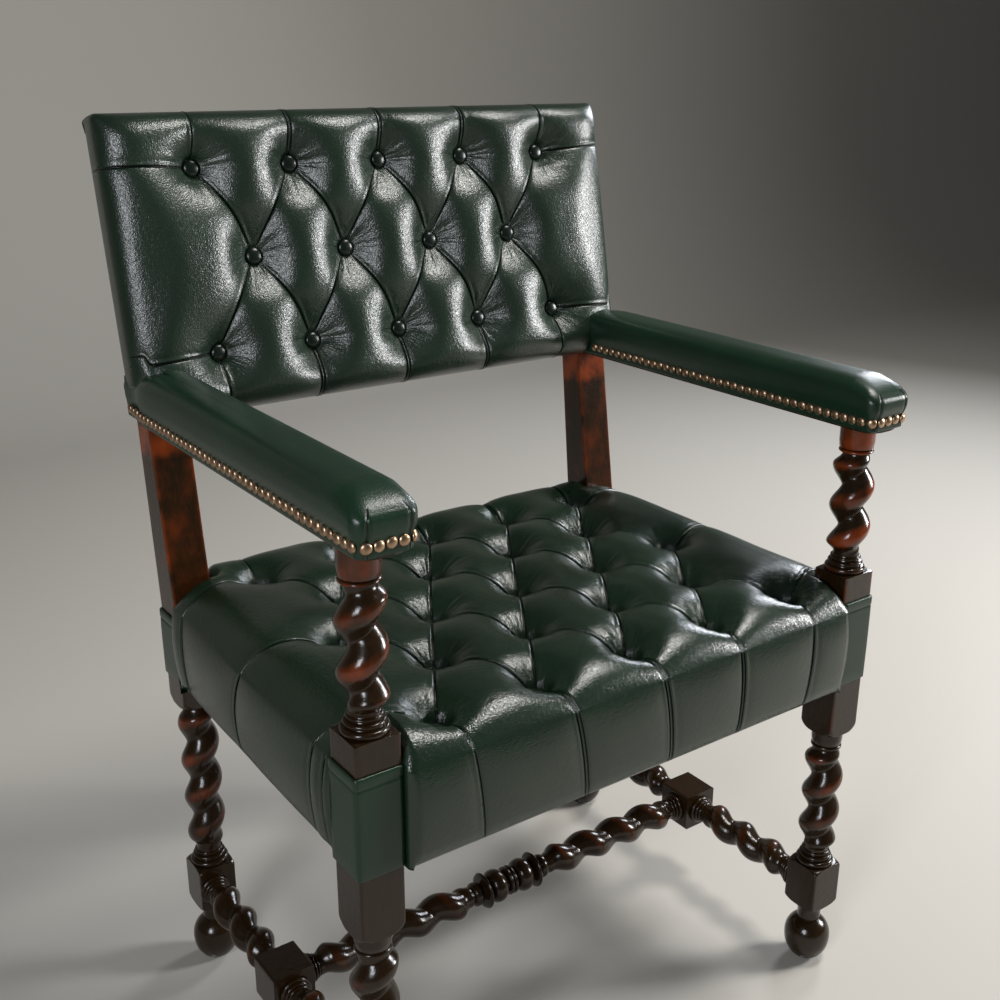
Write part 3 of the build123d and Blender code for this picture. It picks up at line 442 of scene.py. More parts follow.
def frontPost(side, name):
    sections = [
        footProfile(),
        block(74.0, 127.0, chair["half"], 7.0, 7.0),
        ringsOnBlock(127.0),
        rope(145.4, 272.0, 21.0, 12.3, 13.0, posts["frontLower"][side], posts["frontPitch"]),
        collar(272.2, 294.0, 16.2),
        block(294.0, 477.5, chair["half"], 14.0, 1.2),
        ringsOnBlock(477.5),
        rope(496.0, 602.5, 21.0, 10.5, 12.6, posts["frontUpper"][side], posts["upperPitch"][side]),
        collar(602.6, 632.0, 17.2, 12.6),
        turned([632.0, 634.0], [17.0, 9.0]),
    ]
    # Painted light: the front right post takes all of its rubbed red and the left one 0.7 of it, lighter where the
    # light falls from the right and darker on the shaded left.
    addTurned(f"frontPost{name}", [f"front_post_{name.lower()}"], sections, atPost(side * chair["frontX"], 0),
              worn=1.0 if side > 0 else 0.7)


def rearBend(z, x, y):
    # above the seat the post leans: its front and rear faces follow straight lines in the side view
    knee, foot, head, half = posts["knee"], posts["panelFoot"], posts["head"], chair["half"]
    seatLean, backLean = tan(radians(posts["seatRake"])), tan(radians(posts["backRake"]))
    footY = -half + (foot - knee) * seatLean
    front = np.where(z < knee, -half, np.where(z < foot, -half + (z - knee) * seatLean, footY + (z - foot) * backLean))
    deep, way = posts["deepAtHead"], posts["headWay"]
    waist = (foot - posts["deepAtFoot"] * sin(radians(posts["backRake"])),
             footY + posts["deepAtFoot"] * cos(radians(posts["backRake"])))
    top = (head - deep * way[0], footY + (head - foot) * backLean + deep * way[1])
    rear = np.interp(z, [0, knee, waist[0], top[0], 930], [half, half, waist[1], top[1], top[1]])
    middle, scale = (front + rear) / 2, (rear - front) / 2 / half
    return x, np.where((z >= knee)[:, None], middle[:, None] + y * scale[:, None], y)


def rearPost(side, name):
    upright = np.concatenate([np.linspace(437, 625, 24), np.linspace(628, 905, 20)])
    reach = np.repeat((chair["half"] * squareReach)[None, :], len(upright), 0)
    edge = np.clip((reach / chair["half"] - 1.3) / 0.1, 0, 1)
    sections = [
        footProfile(),
        block(74.0, 127.0, chair["half"], 7.0, 7.0),
        ringsOnBlock(127.0),
        rope(145.4, 322.0, 20.8, 13.0, 13.0, posts["rearLower"][side], posts["rearPitch"]),
        joined((np.array([322.2, 325.0]), np.array([13.5, 16.0]))),
        block(325.0, 436.0, chair["half"], 14.0, 0),
        (upright, reach, 0.5 + 0.4 * edge),
    ]
    addTurned(f"rearPost{name}", [f"rear_post_{name.lower()}"], sections,
              atPost(side * chair["rearX"], chair["rearY"]), rearBend)


for side, name in sides:
    frontPost(side, name)
    rearPost(side, name)
print("posts turned")

stretcher = dict(crest=18.5, groove=11.0, neck=11.5, block=22.0, ring=13.0, ridge=90.0, sideTurns=3.0,
                 crossTurns=4.0, turnedMiddle=54.0)


def blockRings(low, high, rising):
    # fine rings on the face of a block, the largest next to it
    length = high - low
    marks = np.array([0.0, 0.36, 0.4, 0.66, 0.7, 0.95])
    outer = [16.8, 14.6, 12.8]
    z, r = endToEnd([bead(low + length * a, low + length * b, radius - 2.4, radius, 8)
                     for a, b, radius in zip(marks[::2], marks[1::2], outer)])
    if not rising:
        z, r = (low + high) - z[::-1], r[::-1]
    return turned(z, r)


def stretcherArms(end, start, turns, middle):
    # both arms of a stretcher, from its ends to its middle part: a pin, fine rings and a twist that has a
    # ridge at the same angle where each arm leaves the middle or a whole number of turns from it
    ring, ridge = stretcher["ring"], stretcher["ridge"]

    def twist(low, high, angle):
        return rope(low, high, stretcher["crest"], stretcher["groove"], stretcher["neck"], (low, angle),
                    (high - low) / turns)

    return [
        turned([-end - 3, -end - 2.9], [8.0, 12.0]),
        blockRings(-end, -end + ring, True),
        twist(-end + ring, -start, ridge - 360 * turns),
        *middle,
        twist(start, end - ring, ridge),
        blockRings(end - ring, end, False),
        turned([end + 2.9, end + 3], [12.0, 8.0]),
    ]


def alongY(x):
    # an axis that runs back, with its own x kept and its own y turned down
    return lambda p: np.stack([x + p[:, 0], chair["middleY"] + p[:, 2], chair["stretcherZ"] - p[:, 1]], -1)


def alongX():
    # an axis that runs to the right, with its own x turned down
    return lambda p: np.stack([p[:, 2], chair["middleY"] + p[:, 1], chair["stretcherZ"] - p[:, 0]], -1)


def sideStretcher(side, name):
    half, ring = stretcher["block"], stretcher["ring"]
    middle = [blockRings(-half - ring, -half, False), block(-half, half, half, 0, 0),
              blockRings(half, half + ring, True)]
    sections = stretcherArms(chair["rearY"] / 2 - chair["half"], half + ring, stretcher["sideTurns"], middle)
    addTurned(f"sideStretcher{name}", [f"side_stretcher_{name.lower()}"], sections, alongY(side * chair["sideX"]))


def crossStretcher():
    half = [
        bead(0.2, 5.0, 12.4, 16.0), (np.array([5.4, 7.2]), np.array([10.4, 10.0])),
        bead(7.6, 27.6, 9.6, 18.6, 15), (np.array([28.0, 30.4]), np.array([9.6, 9.6])),
        bead(30.8, 35.8, 15.0, 20.0, 7), (np.array([36.2, 38.8]), np.array([9.8, 9.6])),
        bead(39.4, 49.4, 9.8, 13.4), (np.array([50.4, 53.4]), np.array([9.8, 11.2])),
    ]
    z, r = endToEnd(half)
    sections = stretcherArms(chair["sideX"] - stretcher["block"], stretcher["turnedMiddle"],
                             stretcher["crossTurns"], [turned(-z[::-1], r[::-1]), turned(z, r)])
    addTurned("crossStretcher", ["cross_stretcher"], sections, alongX())


for side, name in sides:
    sideStretcher(side, name)
crossStretcher()
print("stretchers turned")

# ---- buttoned leather


def creasePlaces(share, step, pinch):
    # where the eight creases lie across the pad, at a share of the way from a row of five buttons to a
    # row of four; creases that meet in a button stay a pinch apart
    k = np.arange(8)
    fromFive = ((k + 1) // 2 - 2) * step
    toFour = (k // 2 - 1.5) * step
    places = fromFive + (toFour - fromFive) * share[:, None]
    way = np.where(k % 2 == 0, 1, -1)
    atFive = np.maximum(0, pinch - step * share)[:, None] / 2 * np.where((k == 0) | (k == 7), 0, way)
    atFour = np.maximum(0, pinch - step * (1 - share))[:, None] / 2 * -way
    return places + atFive + atFour


def shareAt(v, rows, ease):
    # 0 on a row of five and 1 on a row of four, eased so that creases come steeply into the row of four
    share = np.zeros_like(v)
    for k in range(len(rows) - 1):
        t = np.clip((v - rows[k]) / (rows[k + 1] - rows[k]), 0, 1)
        inside = (v >= rows[k]) & (v <= rows[k + 1])
        up = t + ease * (t * t - t)
        share = np.where(inside, up if k % 2 == 0 else 1 - up, share)
    return share


def distanceToLine(x, y, line):
    # nearest place on a polyline: the foot of the perpendicular on each stretch, kept between its ends
    a, d = line[:-1], np.diff(line, axis=0)
    px, py = x[:, None] - a[:, 0], y[:, None] - a[:, 1]
    t = np.clip((px * d[:, 0] + py * d[:, 1]) / (d ** 2).sum(1), 0, 1)
    gap = np.hypot(px - t * d[:, 0], py - t * d[:, 1])
    k = gap.argmin(1)
    row = np.arange(len(x))
    side = np.sign(d[k, 0] * py[row, k] - d[k, 1] * px[row, k])
    return gap[row, k], side, (k + t[row, k]) / len(d)


def rounded(x, y, cornerX, cornerY, radius):
    # squares a corner off: inside it the square's map onto a disc, x * sqrt(1 - y * y / 2), is used
    sx, sy = np.sign(cornerX), np.sign(cornerY[1])
    a, b = (x * sx - (abs(cornerX) - radius)) / radius, ((y - cornerY[0]) * sy + radius) / radius
    inside = (a > 0) & (b > 0) & (a <= 1.0001) & (b <= 1.0001)
    na, nb = a * np.sqrt(1 - b * b / 2), b * np.sqrt(1 - a * a / 2)
    x = np.where(inside, sx * (abs(cornerX) - radius + na * radius), x)
    return x, np.where(inside, cornerY[0] + sy * (nb - 1) * radius, y)


def pleatLines(pad):
    # every pleat as a line with its depth in the middle and at its ends, and the side of it that laps over:
    # 1 for the left of its way and -1 for the right, so that the rear or upper side always does
    lines = []
    rows, step, pinch = pad["rows"], pad["step"], pad["pinch"]
    for k in range(len(rows) - 1):
        v = np.linspace(rows[k], rows[k + 1], 15)
        within = np.clip(v, rows[k] + 1e-6, rows[k + 1] - 1e-6)
        places = creasePlaces(shareAt(within, rows, pad["ease"]), step, pinch)
        for c in range(8):
            line = np.stack([places[:, c], v], -1)
            lines.append((line, *pad["pleat"], np.sign(line[-1, 0] - line[0, 0])))
    five = creasePlaces(np.zeros(1), step, pinch)[0]
    for c in range(8):
        for row, edge, drift in ((rows[0], pad["low"], pad["drift"]), (rows[-1], pad["high"], (0,) * 5)):
            shift = drift[(c + 1) // 2]
            line = np.array([[five[c], row], [five[c] + shift * 0.4, edge]])
            lines.append((line, *pad["edgePleat"], 1 if c < 4 else -1))
    t = np.linspace(0, 1, 13)
    for row, out in zip(rows[::2], pad["sidePleats"]):
        for s in (-1, 1):
            inner, outer = s * step * 2, s * pad["half"](np.array([row]))[0]
            curve = row + (out - row) * t ** pad["sideCurve"]
            lines.append((np.stack([inner + (outer - inner) * t, curve], -1)[:: s], *pad["edgePleat"], 1))
    return lines


def sunk(gap, share, width, power, breadth):
    # part a narrow exp(-(gap / width) ^ power), and part (1 - gap / breadth) ^ 2, which arches a pillow
    return share * np.exp(-(gap / width) ** power) + (1 - share) * np.clip(1 - gap / breadth, 0, 1) ** 2


def tuck(signed, lip):
    # across a fold: a rounded lip on the side that laps over, and a shallow hollow behind it
    return lip * (np.exp(-((signed - 2.0) / 1.0) ** 2) - 0.6 * np.exp(-((signed - 5.4) / 2.2) ** 2))


def drawRandom(pad):
    # the phases of each button's rays and the long waves of the whole pad, drawn once
    count = len(buttonPlaces(pad))
    pad["rays"] = [(n, seed.uniform(0, 2 * pi, count)) for n in (9, 13, 17, 22)]
    pad["waves"] = [(seed.normal(0, 1 / 38, 2), seed.uniform(0, 2 * pi)) for _ in range(7)]


def padHeights(pad, x, y):
    # Each pleat and button takes its share off the crest: the height is the product of 1 - depth * sink
    # over the pleats and the buttons, eased to a full pad by r / (1 + r ^ 4) ^ (1 / 4), then times the rolls
    # of the edges, which are superellipses from a start that is as steep as the skirt below them.
    full = np.ones_like(x)
    fold = np.full_like(x, 50.0)
    for line, middle, ends, over in pleatLines(pad):
        gap, side, along = distanceToLine(x, y, line)
        depth = middle + (ends - middle) * np.abs(2 * along - 1) ** 3
        full *= 1 - depth * sunk(gap, *pad["pleatShape"])
        fold = np.where(gap < np.abs(fold), gap * np.where(side == 0, 1, side) * over, fold)
    places = buttonPlaces(pad)
    dx, dy = x[:, None] - places[:, 0], y[:, None] - places[:, 1]
    away = np.hypot(dx, dy)
    full *= np.prod(1 - pad["dimple"] * sunk(away, *pad["dimpleShape"]), 1)
    near = away.argmin(1)
    row = np.arange(len(x))
    dx, dy, away = dx[row, near], dy[row, near], away[row, near]
    angle = np.arctan2(dy, dx)
    rays = np.zeros_like(x)
    for n, phase in pad["rays"]:
        rays += np.cos(n * angle + phase[near] + away * 0.02 * (n % 3 - 1))
    ruffle = pad["ruffle"] * rays / 4 * np.exp(-((away - 19) / 12) ** 2)
    uneven = np.zeros_like(x)
    for wave, phase in pad["waves"]:
        uneven += np.sin(wave[0] * x + wave[1] * y + phase)
    ratio = full / pad["fullest"]
    height = pad["tuft"] + (pad["crest"] - pad["tuft"]) * ratio / (1 + ratio ** 4) ** 0.25 * 1.12 + ruffle
    height += pad["uneven"] * uneven * full
    below = 1 - smoothStep(away, 7.5, 12.5)
    height = height * (1 - below) + (pad["tuft"] - 0.5) * below
    groove = np.exp(-(fold / 0.8) ** 2) * pad["groove"]
    height += (tuck(fold, pad["lip"]) - groove) * smoothStep(away, 9, 16)
    edge = np.ones_like(x)
    least = (1 - (1 - pad["edgeStart"]) ** 2.2) ** (1 / 2.2)
    for gap, roll in pad["edges"](x, y):
        t = pad["edgeStart"] + (1 - pad["edgeStart"]) * np.clip(gap / roll, 0, 1)
        edge *= ((1 - (1 - t) ** 2.2) ** (1 / 2.2) - least) / (1 - least)
    angle += near * 0.7
    rays = np.stack([9 * np.cos(angle), 9 * np.sin(angle), away * 0.07 + near], -1)
    return (pad["edgeHeight"] + (height - pad["edgeHeight"]) * edge,
            dict(fold=np.abs(fold), pull=1 - smoothStep(away, 12, 40), rayPlace=rays))


def buttonPlaces(pad):
    places = []
    for k, row in enumerate(pad["rows"]):
        count = 5 - k % 2
        places += [((n - (count - 1) / 2) * pad["step"], row) for n in range(count)]
    return np.array(places)


def padGrid(pad, evenly=None):
    # Rows up the pad, and columns that follow the creases: between two creases they gather at both. Beside
    # the buttons the rows swing with the side pleats. Evenly gives a plain grid of about that spacing.
    counts = (pad["rowCounts"], pad["marginCounts"], pad["gapCount"])
    if evenly:
        counts = ([max(2, round((b - a) / evenly)) for a, b in zip(pad["rowStops"], pad["rowStops"][1:])],
                  [max(2, round(30 / evenly))] * len(pad["marginCounts"]), max(4, round(pad["step"] / 2 / evenly)))

    def shares(count):
        return np.arange(count) / count if evenly else (1 - np.cos(pi * np.arange(count) / count)) / 2

    stops = pad["rowStops"]
    v = np.concatenate([a + (b - a) * shares(n) for a, b, n in zip(stops, stops[1:], counts[0])] + [stops[-1:]])
    creases = creasePlaces(shareAt(v, pad["rows"], pad["ease"]), pad["step"], pad["pinch"])
    front = np.clip((pad["rows"][0] - v) / (pad["rows"][0] - pad["low"]), 0, 1)
    creases = creases + front[:, None] * np.array(pad["drift"])[(np.arange(8) + 1) // 2] * 0.4
    half = pad["half"](v)
    margins = [np.full_like(v, m) for m in pad["marginStops"]]
    lines = [-half] + [-m for m in margins] + list(creases.T) + margins[::-1] + [half]
    numbers = list(counts[1]) + [counts[2]] * 7 + list(counts[1])[::-1]
    x, place = [], []
    for k, (a, b, count) in enumerate(zip(lines, lines[1:], numbers)):
        s = shares(count)
        x.append(a[:, None] + (b - a)[:, None] * s)
        place.append(k + s)
    x = np.concatenate(x + [half[:, None]], 1)
    place = np.append(np.concatenate(place), len(numbers))
    swing = np.interp(v, *pad["swing"])[:, None]
    reach = np.clip((np.abs(x) - 2 * pad["step"]) / (half[:, None] - 2 * pad["step"]), 0, 1)
    y = v[:, None] + swing * reach ** pad["sideCurve"]
    return x, y, v, place


def carried(values, at, wanted):
    # a smooth curve through each column's values, as Catmull and Rom give it, read at the wanted places
    k = np.clip(np.searchsorted(at, wanted, side="right") - 1, 0, len(at) - 2)
    t = ((wanted - at[k]) / (at[k + 1] - at[k]))[:, None, None]
    a, b, c, d = values[np.maximum(k - 1, 0)], values[k], values[k + 1], values[np.minimum(k + 2, len(at) - 1)]
    return b + 0.5 * t * (c - a + t * (2 * a - 5 * b + 4 * c - d + t * (3 * (b - c) + d - a)))


# A strong pressure, because a weak one hardly moves the tight cells between the creases. Most points move
# under a tenth of a millimetre even so: the pad's form comes from padHeights.
inflation = dict(spacing=6.5, frames=20, pressure=30.0, mass=0.02, cap=4.0)


def puffed(pad, v, across, place):
    # Cloth under pressure on a plain, slightly smaller copy of the pad's top, held at its rim, its buttons
    # and its creases. How far each point may move is capped, and the moves are carried to the fine grid.
    x, y, coarseV, coarseAcross = padGrid(pad, evenly=inflation["spacing"])
    flatX, flatY = x.ravel(), y.ravel()
    height, marks = padHeights(pad, flatX, flatY)
    mesh = bpy.data.meshes.new("puffedCloth")
    mesh.from_pydata(inMetres(place(flatX, flatY, height)).tolist(), [], gridFaces(*x.shape).tolist())
    cloth = bpy.data.objects.new("puffedCloth", mesh)
    bpy.context.scene.collection.objects.link(cloth)
    rim = np.min([gap for gap, _ in pad["edges"](flatX, flatY)], 0)
    held = np.clip(np.exp(-(marks["fold"] / 3.5) ** 2) + (marks["pull"] > 0.97) + (rim < 2), 0, 1)
    group = cloth.vertex_groups.new(name="held")
    for level in np.unique(np.round(held, 1)):
        group.add(np.flatnonzero(np.round(held, 1) == level).tolist(), float(level), "REPLACE")
    settings = cloth.modifiers.new("cloth", "CLOTH").settings
    settings.vertex_group_mass = "held"
    settings.mass = inflation["mass"]
    settings.use_pressure = True
    settings.uniform_pressure_force = inflation["pressure"]
    settings.effector_weights.gravity = 0
    before = np.empty(3 * len(mesh.vertices))
    mesh.vertices.foreach_get("co", before)
    for moment in range(1, inflation["frames"] + 1):
        bpy.context.scene.frame_set(moment)
    after = np.empty_like(before)
    solved = cloth.evaluated_get(bpy.context.evaluated_depsgraph_get()).to_mesh()
    solved.vertices.foreach_get("co", after)
    bpy.context.scene.frame_set(1)
    bpy.data.objects.remove(cloth)
    bpy.data.meshes.remove(mesh)
    move = (after - before).reshape(-1, 3) * 1000
    length = np.linalg.norm(move, axis=1, keepdims=True) + 1e-9
    print("cloth moved", round(float(length.max()), 1), "mm, middle", round(float(np.median(length)), 2))
    move *= inflation["cap"] * np.tanh(length / inflation["cap"]) / length
    move = carried(move.reshape(*x.shape, 3), coarseV, v)
    return carried(move.transpose(1, 0, 2), coarseAcross, across).transpose(1, 0, 2).reshape(-1, 3)


def ringOf(rows, columns):
    # vertex numbers round a whole grid, against the clock as seen from above
    number = np.arange(rows * columns).reshape(rows, columns)
    return np.concatenate([number[0, :-1], number[:-1, -1], number[-1, :0:-1], number[:0:-1, 0]])


def outwards(x, y):
    # the unit normal of a closed outline, from the chord between each vertex's neighbours
    tx, ty = np.roll(x, -1) - np.roll(x, 1), np.roll(y, -1) - np.roll(y, 1)
    length = np.hypot(tx, ty) + 1e-9
    return ty / length, -tx / length


def skirtFaces(loops):
    faces = []
    for upper, lower in zip(loops, loops[1:]):
        faces.append(np.stack([upper, lower, np.roll(lower, -1), np.roll(upper, -1)], -1))
    return faces


def domes(radii, heights, crown, count, sites, up):
    # domes of one profile, radius and height by ring, closed at both ends, each with its foot at a site and
    # its axis along the site's
    a = 2 * pi * np.arange(count) / count
    ring = np.stack([np.outer(radii, np.cos(a)), np.outer(radii, np.sin(a)), np.repeat(heights[:, None], count, 1)], -1)
    dome = np.concatenate([ring.reshape(-1, 3), [[0, 0, heights[0]]], [[0, 0, crown]]])
    m, c = len(radii) * count, np.arange(count)
    n = (c + 1) % count
    quads = gridFaces(len(radii), count, closed=True)
    triangles = np.concatenate([np.stack([n, c, np.full(count, m)], -1),
                                np.stack([m - count + c, m - count + n, np.full(count, m + 1)], -1)])
    points = []
    for base, axis in sites:
        axis = axis / np.linalg.norm(axis)
        e1 = np.cross(up, axis)
        e1 /= np.linalg.norm(e1)
        points.append(base + dome @ np.stack([e1, np.cross(axis, e1), axis]))
    steps = (np.arange(len(sites)) * len(dome))[:, None, None]
    return np.concatenate(points), [(part + steps).reshape(-1, part.shape[1]) for part in (quads, triangles)]


def compacted(points, parts, marks):
    # the same faces without the vertices that none of them uses
    used = np.zeros(len(points), bool)
    for part in parts:
        used[part.ravel()] = True
    renumber = np.cumsum(used) - 1
    return points[used], [renumber[part] for part in parts], {key: value[used] for key, value in marks.items()}


button = dict(radii=np.array([7.6, 8.7, 9.1, 9.0, 8.2, 6.8, 4.9, 2.6]),
              heights=np.array([0.0, 0.4, 1.4, 2.3, 3.5, 4.5, 5.2, 5.6]), crown=5.75, sides=28, tilt=0.05)


def addButtons(name, node, pad, place, normal):
    across = np.array([1.0, 0, 0])
    up = np.cross(normal, across)
    seatHeight, sites = np.array([pad["tuft"] + pad["buttonSeat"]]), []
    for u, v in buttonPlaces(pad):
        tilt = seed.normal(0, button["tilt"], 2)
        sites.append((place(np.array([u]), np.array([v]), seatHeight)[0], normal + tilt[0] * across + tilt[1] * up))
    points, faces = domes(button["radii"], button["heights"], button["crown"], button["sides"], sites, up)
    return addPiece(name, points, faces, shadedButtonHide, [node])


# Seat

seat = dict(
    base=440.0, bottom=353.0, low=-30.0, high=411.5,
    half=lambda y: 300 - 8 * np.clip(y, 0, 370) / 370,
    rows=(12.0, 96.0, 181.0, 264.0, 345.0), step=103.0, pinch=3.6, ease=0.1,
    crest=34.0, tuft=6.0, buttonSeat=-0.6, edgeHeight=6.0, edgeStart=0.06,
    pleat=(0.28, 0.42), edgePleat=(0.2, 0.4), pleatShape=(0.2, 3.0, 1.5, 46.0),
    dimple=0.88, dimpleShape=(0.45, 14.0, 1.8, 62.0), fullest=0.86,
    sidePleats=(52.0, 198.0, 342.0), sideCurve=1.4, swing=((96, 181, 264, 345, 365), (0, 17, 0, -3, 0)),
    drift=(20.0, 26.0, 22.0, 6.0, -5.0),
    ruffle=0.8, uneven=0.5, lip=0.7, groove=1.3,
    rowStops=(-30.0, 12.0, 20.8, 31.0, 52.0, 96.0, 181.0, 264.0, 345.0, 370.2, 411.5),
    rowCounts=(26, 6, 8, 14, 22, 38, 38, 36, 12, 16),
    marginStops=(259.2, 248.2), marginCounts=(14, 4, 20), gapCount=24,
    notchFront=(259.2, 20.8), notchRear=(248.2, 370.2), cornerRadius=6.0,
    # how far each line of the skirt lies below the top's edge and out from it, and where it turns in
    skirt=((-4, 1.0), (-10, 2.0), (-18, 2.8), (-28, 3.3), (-40, 3.4), (-52, 3.0), (-64, 2.0), (-76, 0.6), (-85, -1.4),
           (-89.5, -3.4), (-91, -5.5), (-90.6, -9.0), (-89.4, -16.0)),
    drop=91.0, turnsIn=-88.0, scallop=3.4, sideAt=(31.0, 52.0, 198.0, 342.0),
    slideAt=(52, 110, 198, 290, 342), slide=(8, 14, 26, 12, 0),
)


def seatEdges(x, y):
    # distance from the front, the sides, the rear and the two kinds of notch, each with its roll
    front, rear, side = y - seat["low"], seat["high"] - y, seat["half"](y) - np.abs(x)
    fx, fy = seat["notchFront"]
    rx, ry = seat["notchRear"]
    notchF = np.hypot(np.maximum(fx - np.abs(x), 0), np.maximum(y - fy, 0))
    notchR = np.hypot(np.maximum(rx - np.abs(x), 0), np.maximum(ry - y, 0))
    return [(front, 52.0), (side, 54.0), (rear, 32.0), (notchF, 13.0), (notchR, 13.0)]


seat["edges"] = seatEdges


def seatPlace(u, v, h):
    return np.stack([u, v, seat["base"] + h], -1)


def extended(marks, folds, count):
    # the marks of a pad with its skirts, which no button pulls
    more = count - len(marks["pull"])
    return dict(fold=np.concatenate(folds), pull=np.concatenate([marks["pull"], np.zeros(more)]),
                rayPlace=np.concatenate([marks["rayPlace"], np.zeros((more, 3))]))


def makeSeat():
    drawRandom(seat)
    x, y, v, across = padGrid(seat)
    rows, columns = x.shape
    fx, fy = seat["notchFront"]
    rx, ry = seat["notchRear"]
    frontRow = int(np.abs(v - fy).argmin())
    rearRow = int(np.abs(v - ry).argmin())
    frontColumn = seat["marginCounts"][0]
    rearColumn = seat["marginCounts"][0] + seat["marginCounts"][1]
    flatX, flatY = x.ravel(), y.ravel()
    outFront, outRear = seat["half"](np.array([fy, ry]))
    for s in (-1, 1):
        for cornerX, cornerY in ((fx, (seat["low"], -1)), (rx, (seat["high"], 1)), (outFront, (fy, -1)),
                                 (outRear, (ry, 1))):
            flatX, flatY = rounded(flatX, flatY, s * cornerX, cornerY, seat["cornerRadius"])
    height, marks = padHeights(seat, x.ravel(), y.ravel())
    number = np.arange(rows * columns).reshape(rows, columns)
    faces = gridFaces(rows, columns)
    cell = np.arange(len(faces))
    r, c = cell // (columns - 1), cell % (columns - 1)
    away = np.minimum(c, columns - 2 - c)
    keep = ~((r < frontRow) & (away < frontColumn)) & ~((r >= rearRow) & (away < rearColumn))
    faces = faces[keep]
    last = columns - 1
    ring = np.concatenate([
        number[0, frontColumn:last - frontColumn],
        number[:frontRow, last - frontColumn],
        number[frontRow, last - frontColumn:last],
        number[frontRow:rearRow, last],
        number[rearRow, last:last - rearColumn:-1],
        number[rearRow:rows - 1, last - rearColumn],
        number[rows - 1, last - rearColumn:rearColumn:-1],
        number[rows - 1:rearRow:-1, rearColumn],
        number[rearRow, rearColumn:0:-1],
        number[rearRow:frontRow:-1, 0],
        number[frontRow, 0:frontColumn],
        number[frontRow:0:-1, frontColumn],
    ])
    ox, oy = flatX[ring], flatY[ring]
    nx, ny = outwards(ox, oy)
    free = np.ones(len(ring))
    free[(np.abs(ox) > fx - 3) & (oy < fy + 0.5)] = 0
    free[(np.abs(ox) > rx - 3) & (oy > ry - 0.5)] = 0
    isFront = (oy < seat["low"] + 7) & (free > 0)
    # scallops between the pleats, and a groove with a lip at each of them, on the front and the sides
    five = creasePlaces(np.zeros(1), seat["step"], seat["pinch"])[0]
    drift = np.array(seat["drift"])[(np.arange(8) + 1) // 2]
    atFront = five + drift * 0.4
    stops = np.concatenate([[-fx], atFront[0:1], (atFront[1:7:2] + atFront[2:8:2]) / 2, atFront[7:8], [fx]])
    sideAt = np.array([fy, *seat["sideAt"], ry])
    nearFront = np.abs(ox[:, None] - atFront).argmin(1)
    nearSide = np.abs(oy[:, None] - sideAt[1:-1]).argmin(1)
    signedFront = (ox - atFront[nearFront]) * np.where(nearFront < 4, -1, 1)
    signedSide = oy - sideAt[1:-1][nearSide]
    signed = np.where(isFront, signedFront, signedSide)
    spanFront = np.clip(np.searchsorted(stops, ox) - 1, 0, len(stops) - 2)
    spanSide = np.clip(np.searchsorted(sideAt, oy) - 1, 0, len(sideAt) - 2)
    share = np.where(isFront, (ox - stops[spanFront]) / (stops[spanFront + 1] - stops[spanFront]),
                     (oy - sideAt[spanSide]) / (sideAt[spanSide + 1] - sideAt[spanSide]))
    swell = seat["scallop"] * (1 - np.abs(2 * np.clip(share, 0, 1) - 1) ** 2.6)
    slideX = isFront * np.interp(ox, np.concatenate([[-fx + 6], atFront, [fx - 6]]), np.concatenate([[0], drift, [0]]))
    slideY = ~isFront * free * np.interp(oy, [fy + 6, *seat["slideAt"], ry - 6], [0, *seat["slide"], 0])
    top = seatPlace(flatX, flatY, height)
    top += puffed(seat, v, across, seatPlace)
    points, folds = [top], [marks["fold"]]
    loops = [ring]
    count = rows * columns
    for down, out in seat["skirt"]:
        t = -down / seat["drop"]
        z = seat["base"] + seat["edgeHeight"] + down
        puff = swell * min(1, t * 3) * (1 - 0.6 * t)
        mark = tuck(signed, 0.8) - 1.5 * np.exp(-(signed / 0.9) ** 2)
        offset = free * (out + puff + mark * (1 - 0.5 * t))
        if down < seat["turnsIn"]:
            offset = free * out
        px = ox + nx * offset + slideX * 0.6 * t
        py = oy + ny * offset + slideY * t * (1.5 - t)
        points.append(np.stack([px, py, np.full_like(px, z)], -1))
        folds.append(np.where(free > 0, np.abs(signed), 50.0))
        loops.append(np.arange(len(ring)) + count)
        count += len(ring)
    return compacted(np.concatenate(points), [faces] + skirtFaces(loops), extended(marks, folds, count))


points, faces, marks = makeSeat()
seatPiece = addPiece("seatLeather", points, faces, seatHide, ["seat_cushion", "seat_webbing", "seat_hessian"],
                     marks)
addButtons("seatButtons", "seat_buttons", seat, seatPlace, np.array([0, 0, 1.0]))
print("seat upholstered")

# Back

rake = radians(posts["backRake"])
panel = dict(
    footY=400.14, footZ=632.0, base=4.0,
    low=0.0, high=290.0, halfWidth=298.0, half=lambda v: panel["halfWidth"] + 0 * v,
    rows=(57.5, 148.5, 237.0), step=104.5, pinch=3.6, ease=0.3,
    crest=28.0, tuft=2.6, buttonSeat=-0.6, edgeHeight=3.0, edgeStart=0.02, armLift=34.0, rearDraw=5.0,
    cornerRadius=5.0,
    pleat=(0.56, 0.6), edgePleat=(0.3, 0.5), pleatShape=(0.08, 3.0, 1.5, 52.0),
    dimple=0.9, dimpleShape=(0.45, 15.0, 1.8, 66.0), fullest=0.84,
    sidePleats=(53.0, 240.0), sideCurve=1.4, swing=((0, 57.5, 148.5, 237, 290), (0, -4.5, 0, 3, 0)), drift=(0.0,) * 5,
    ruffle=0.9, uneven=0.4, lip=0.9, groove=1.2,
    rowStops=(0.0, 57.5, 148.5, 237.0, 290.0), rowCounts=(34, 46, 46, 34),
    marginStops=(), marginCounts=(36,), gapCount=26,
    # height of each line of the skirt over the panel's plane, and how far it stands out
    skirt=((0.5, 0.6), (-3, 1.2), (-10, 1.5), (-18, 1.5), (-26, 1.2), (-33, 0.6), (-38, -0.4), (-40.6, -1.6),
           (-41.3, -3.6), (-41.0, -7.0), (-40.2, -12.0)),
)


def panelEdges(x, y):
    return [(y, 30.0), (panel["high"] - y, 30.0), (panel["halfWidth"] - np.abs(x), 38.0)]


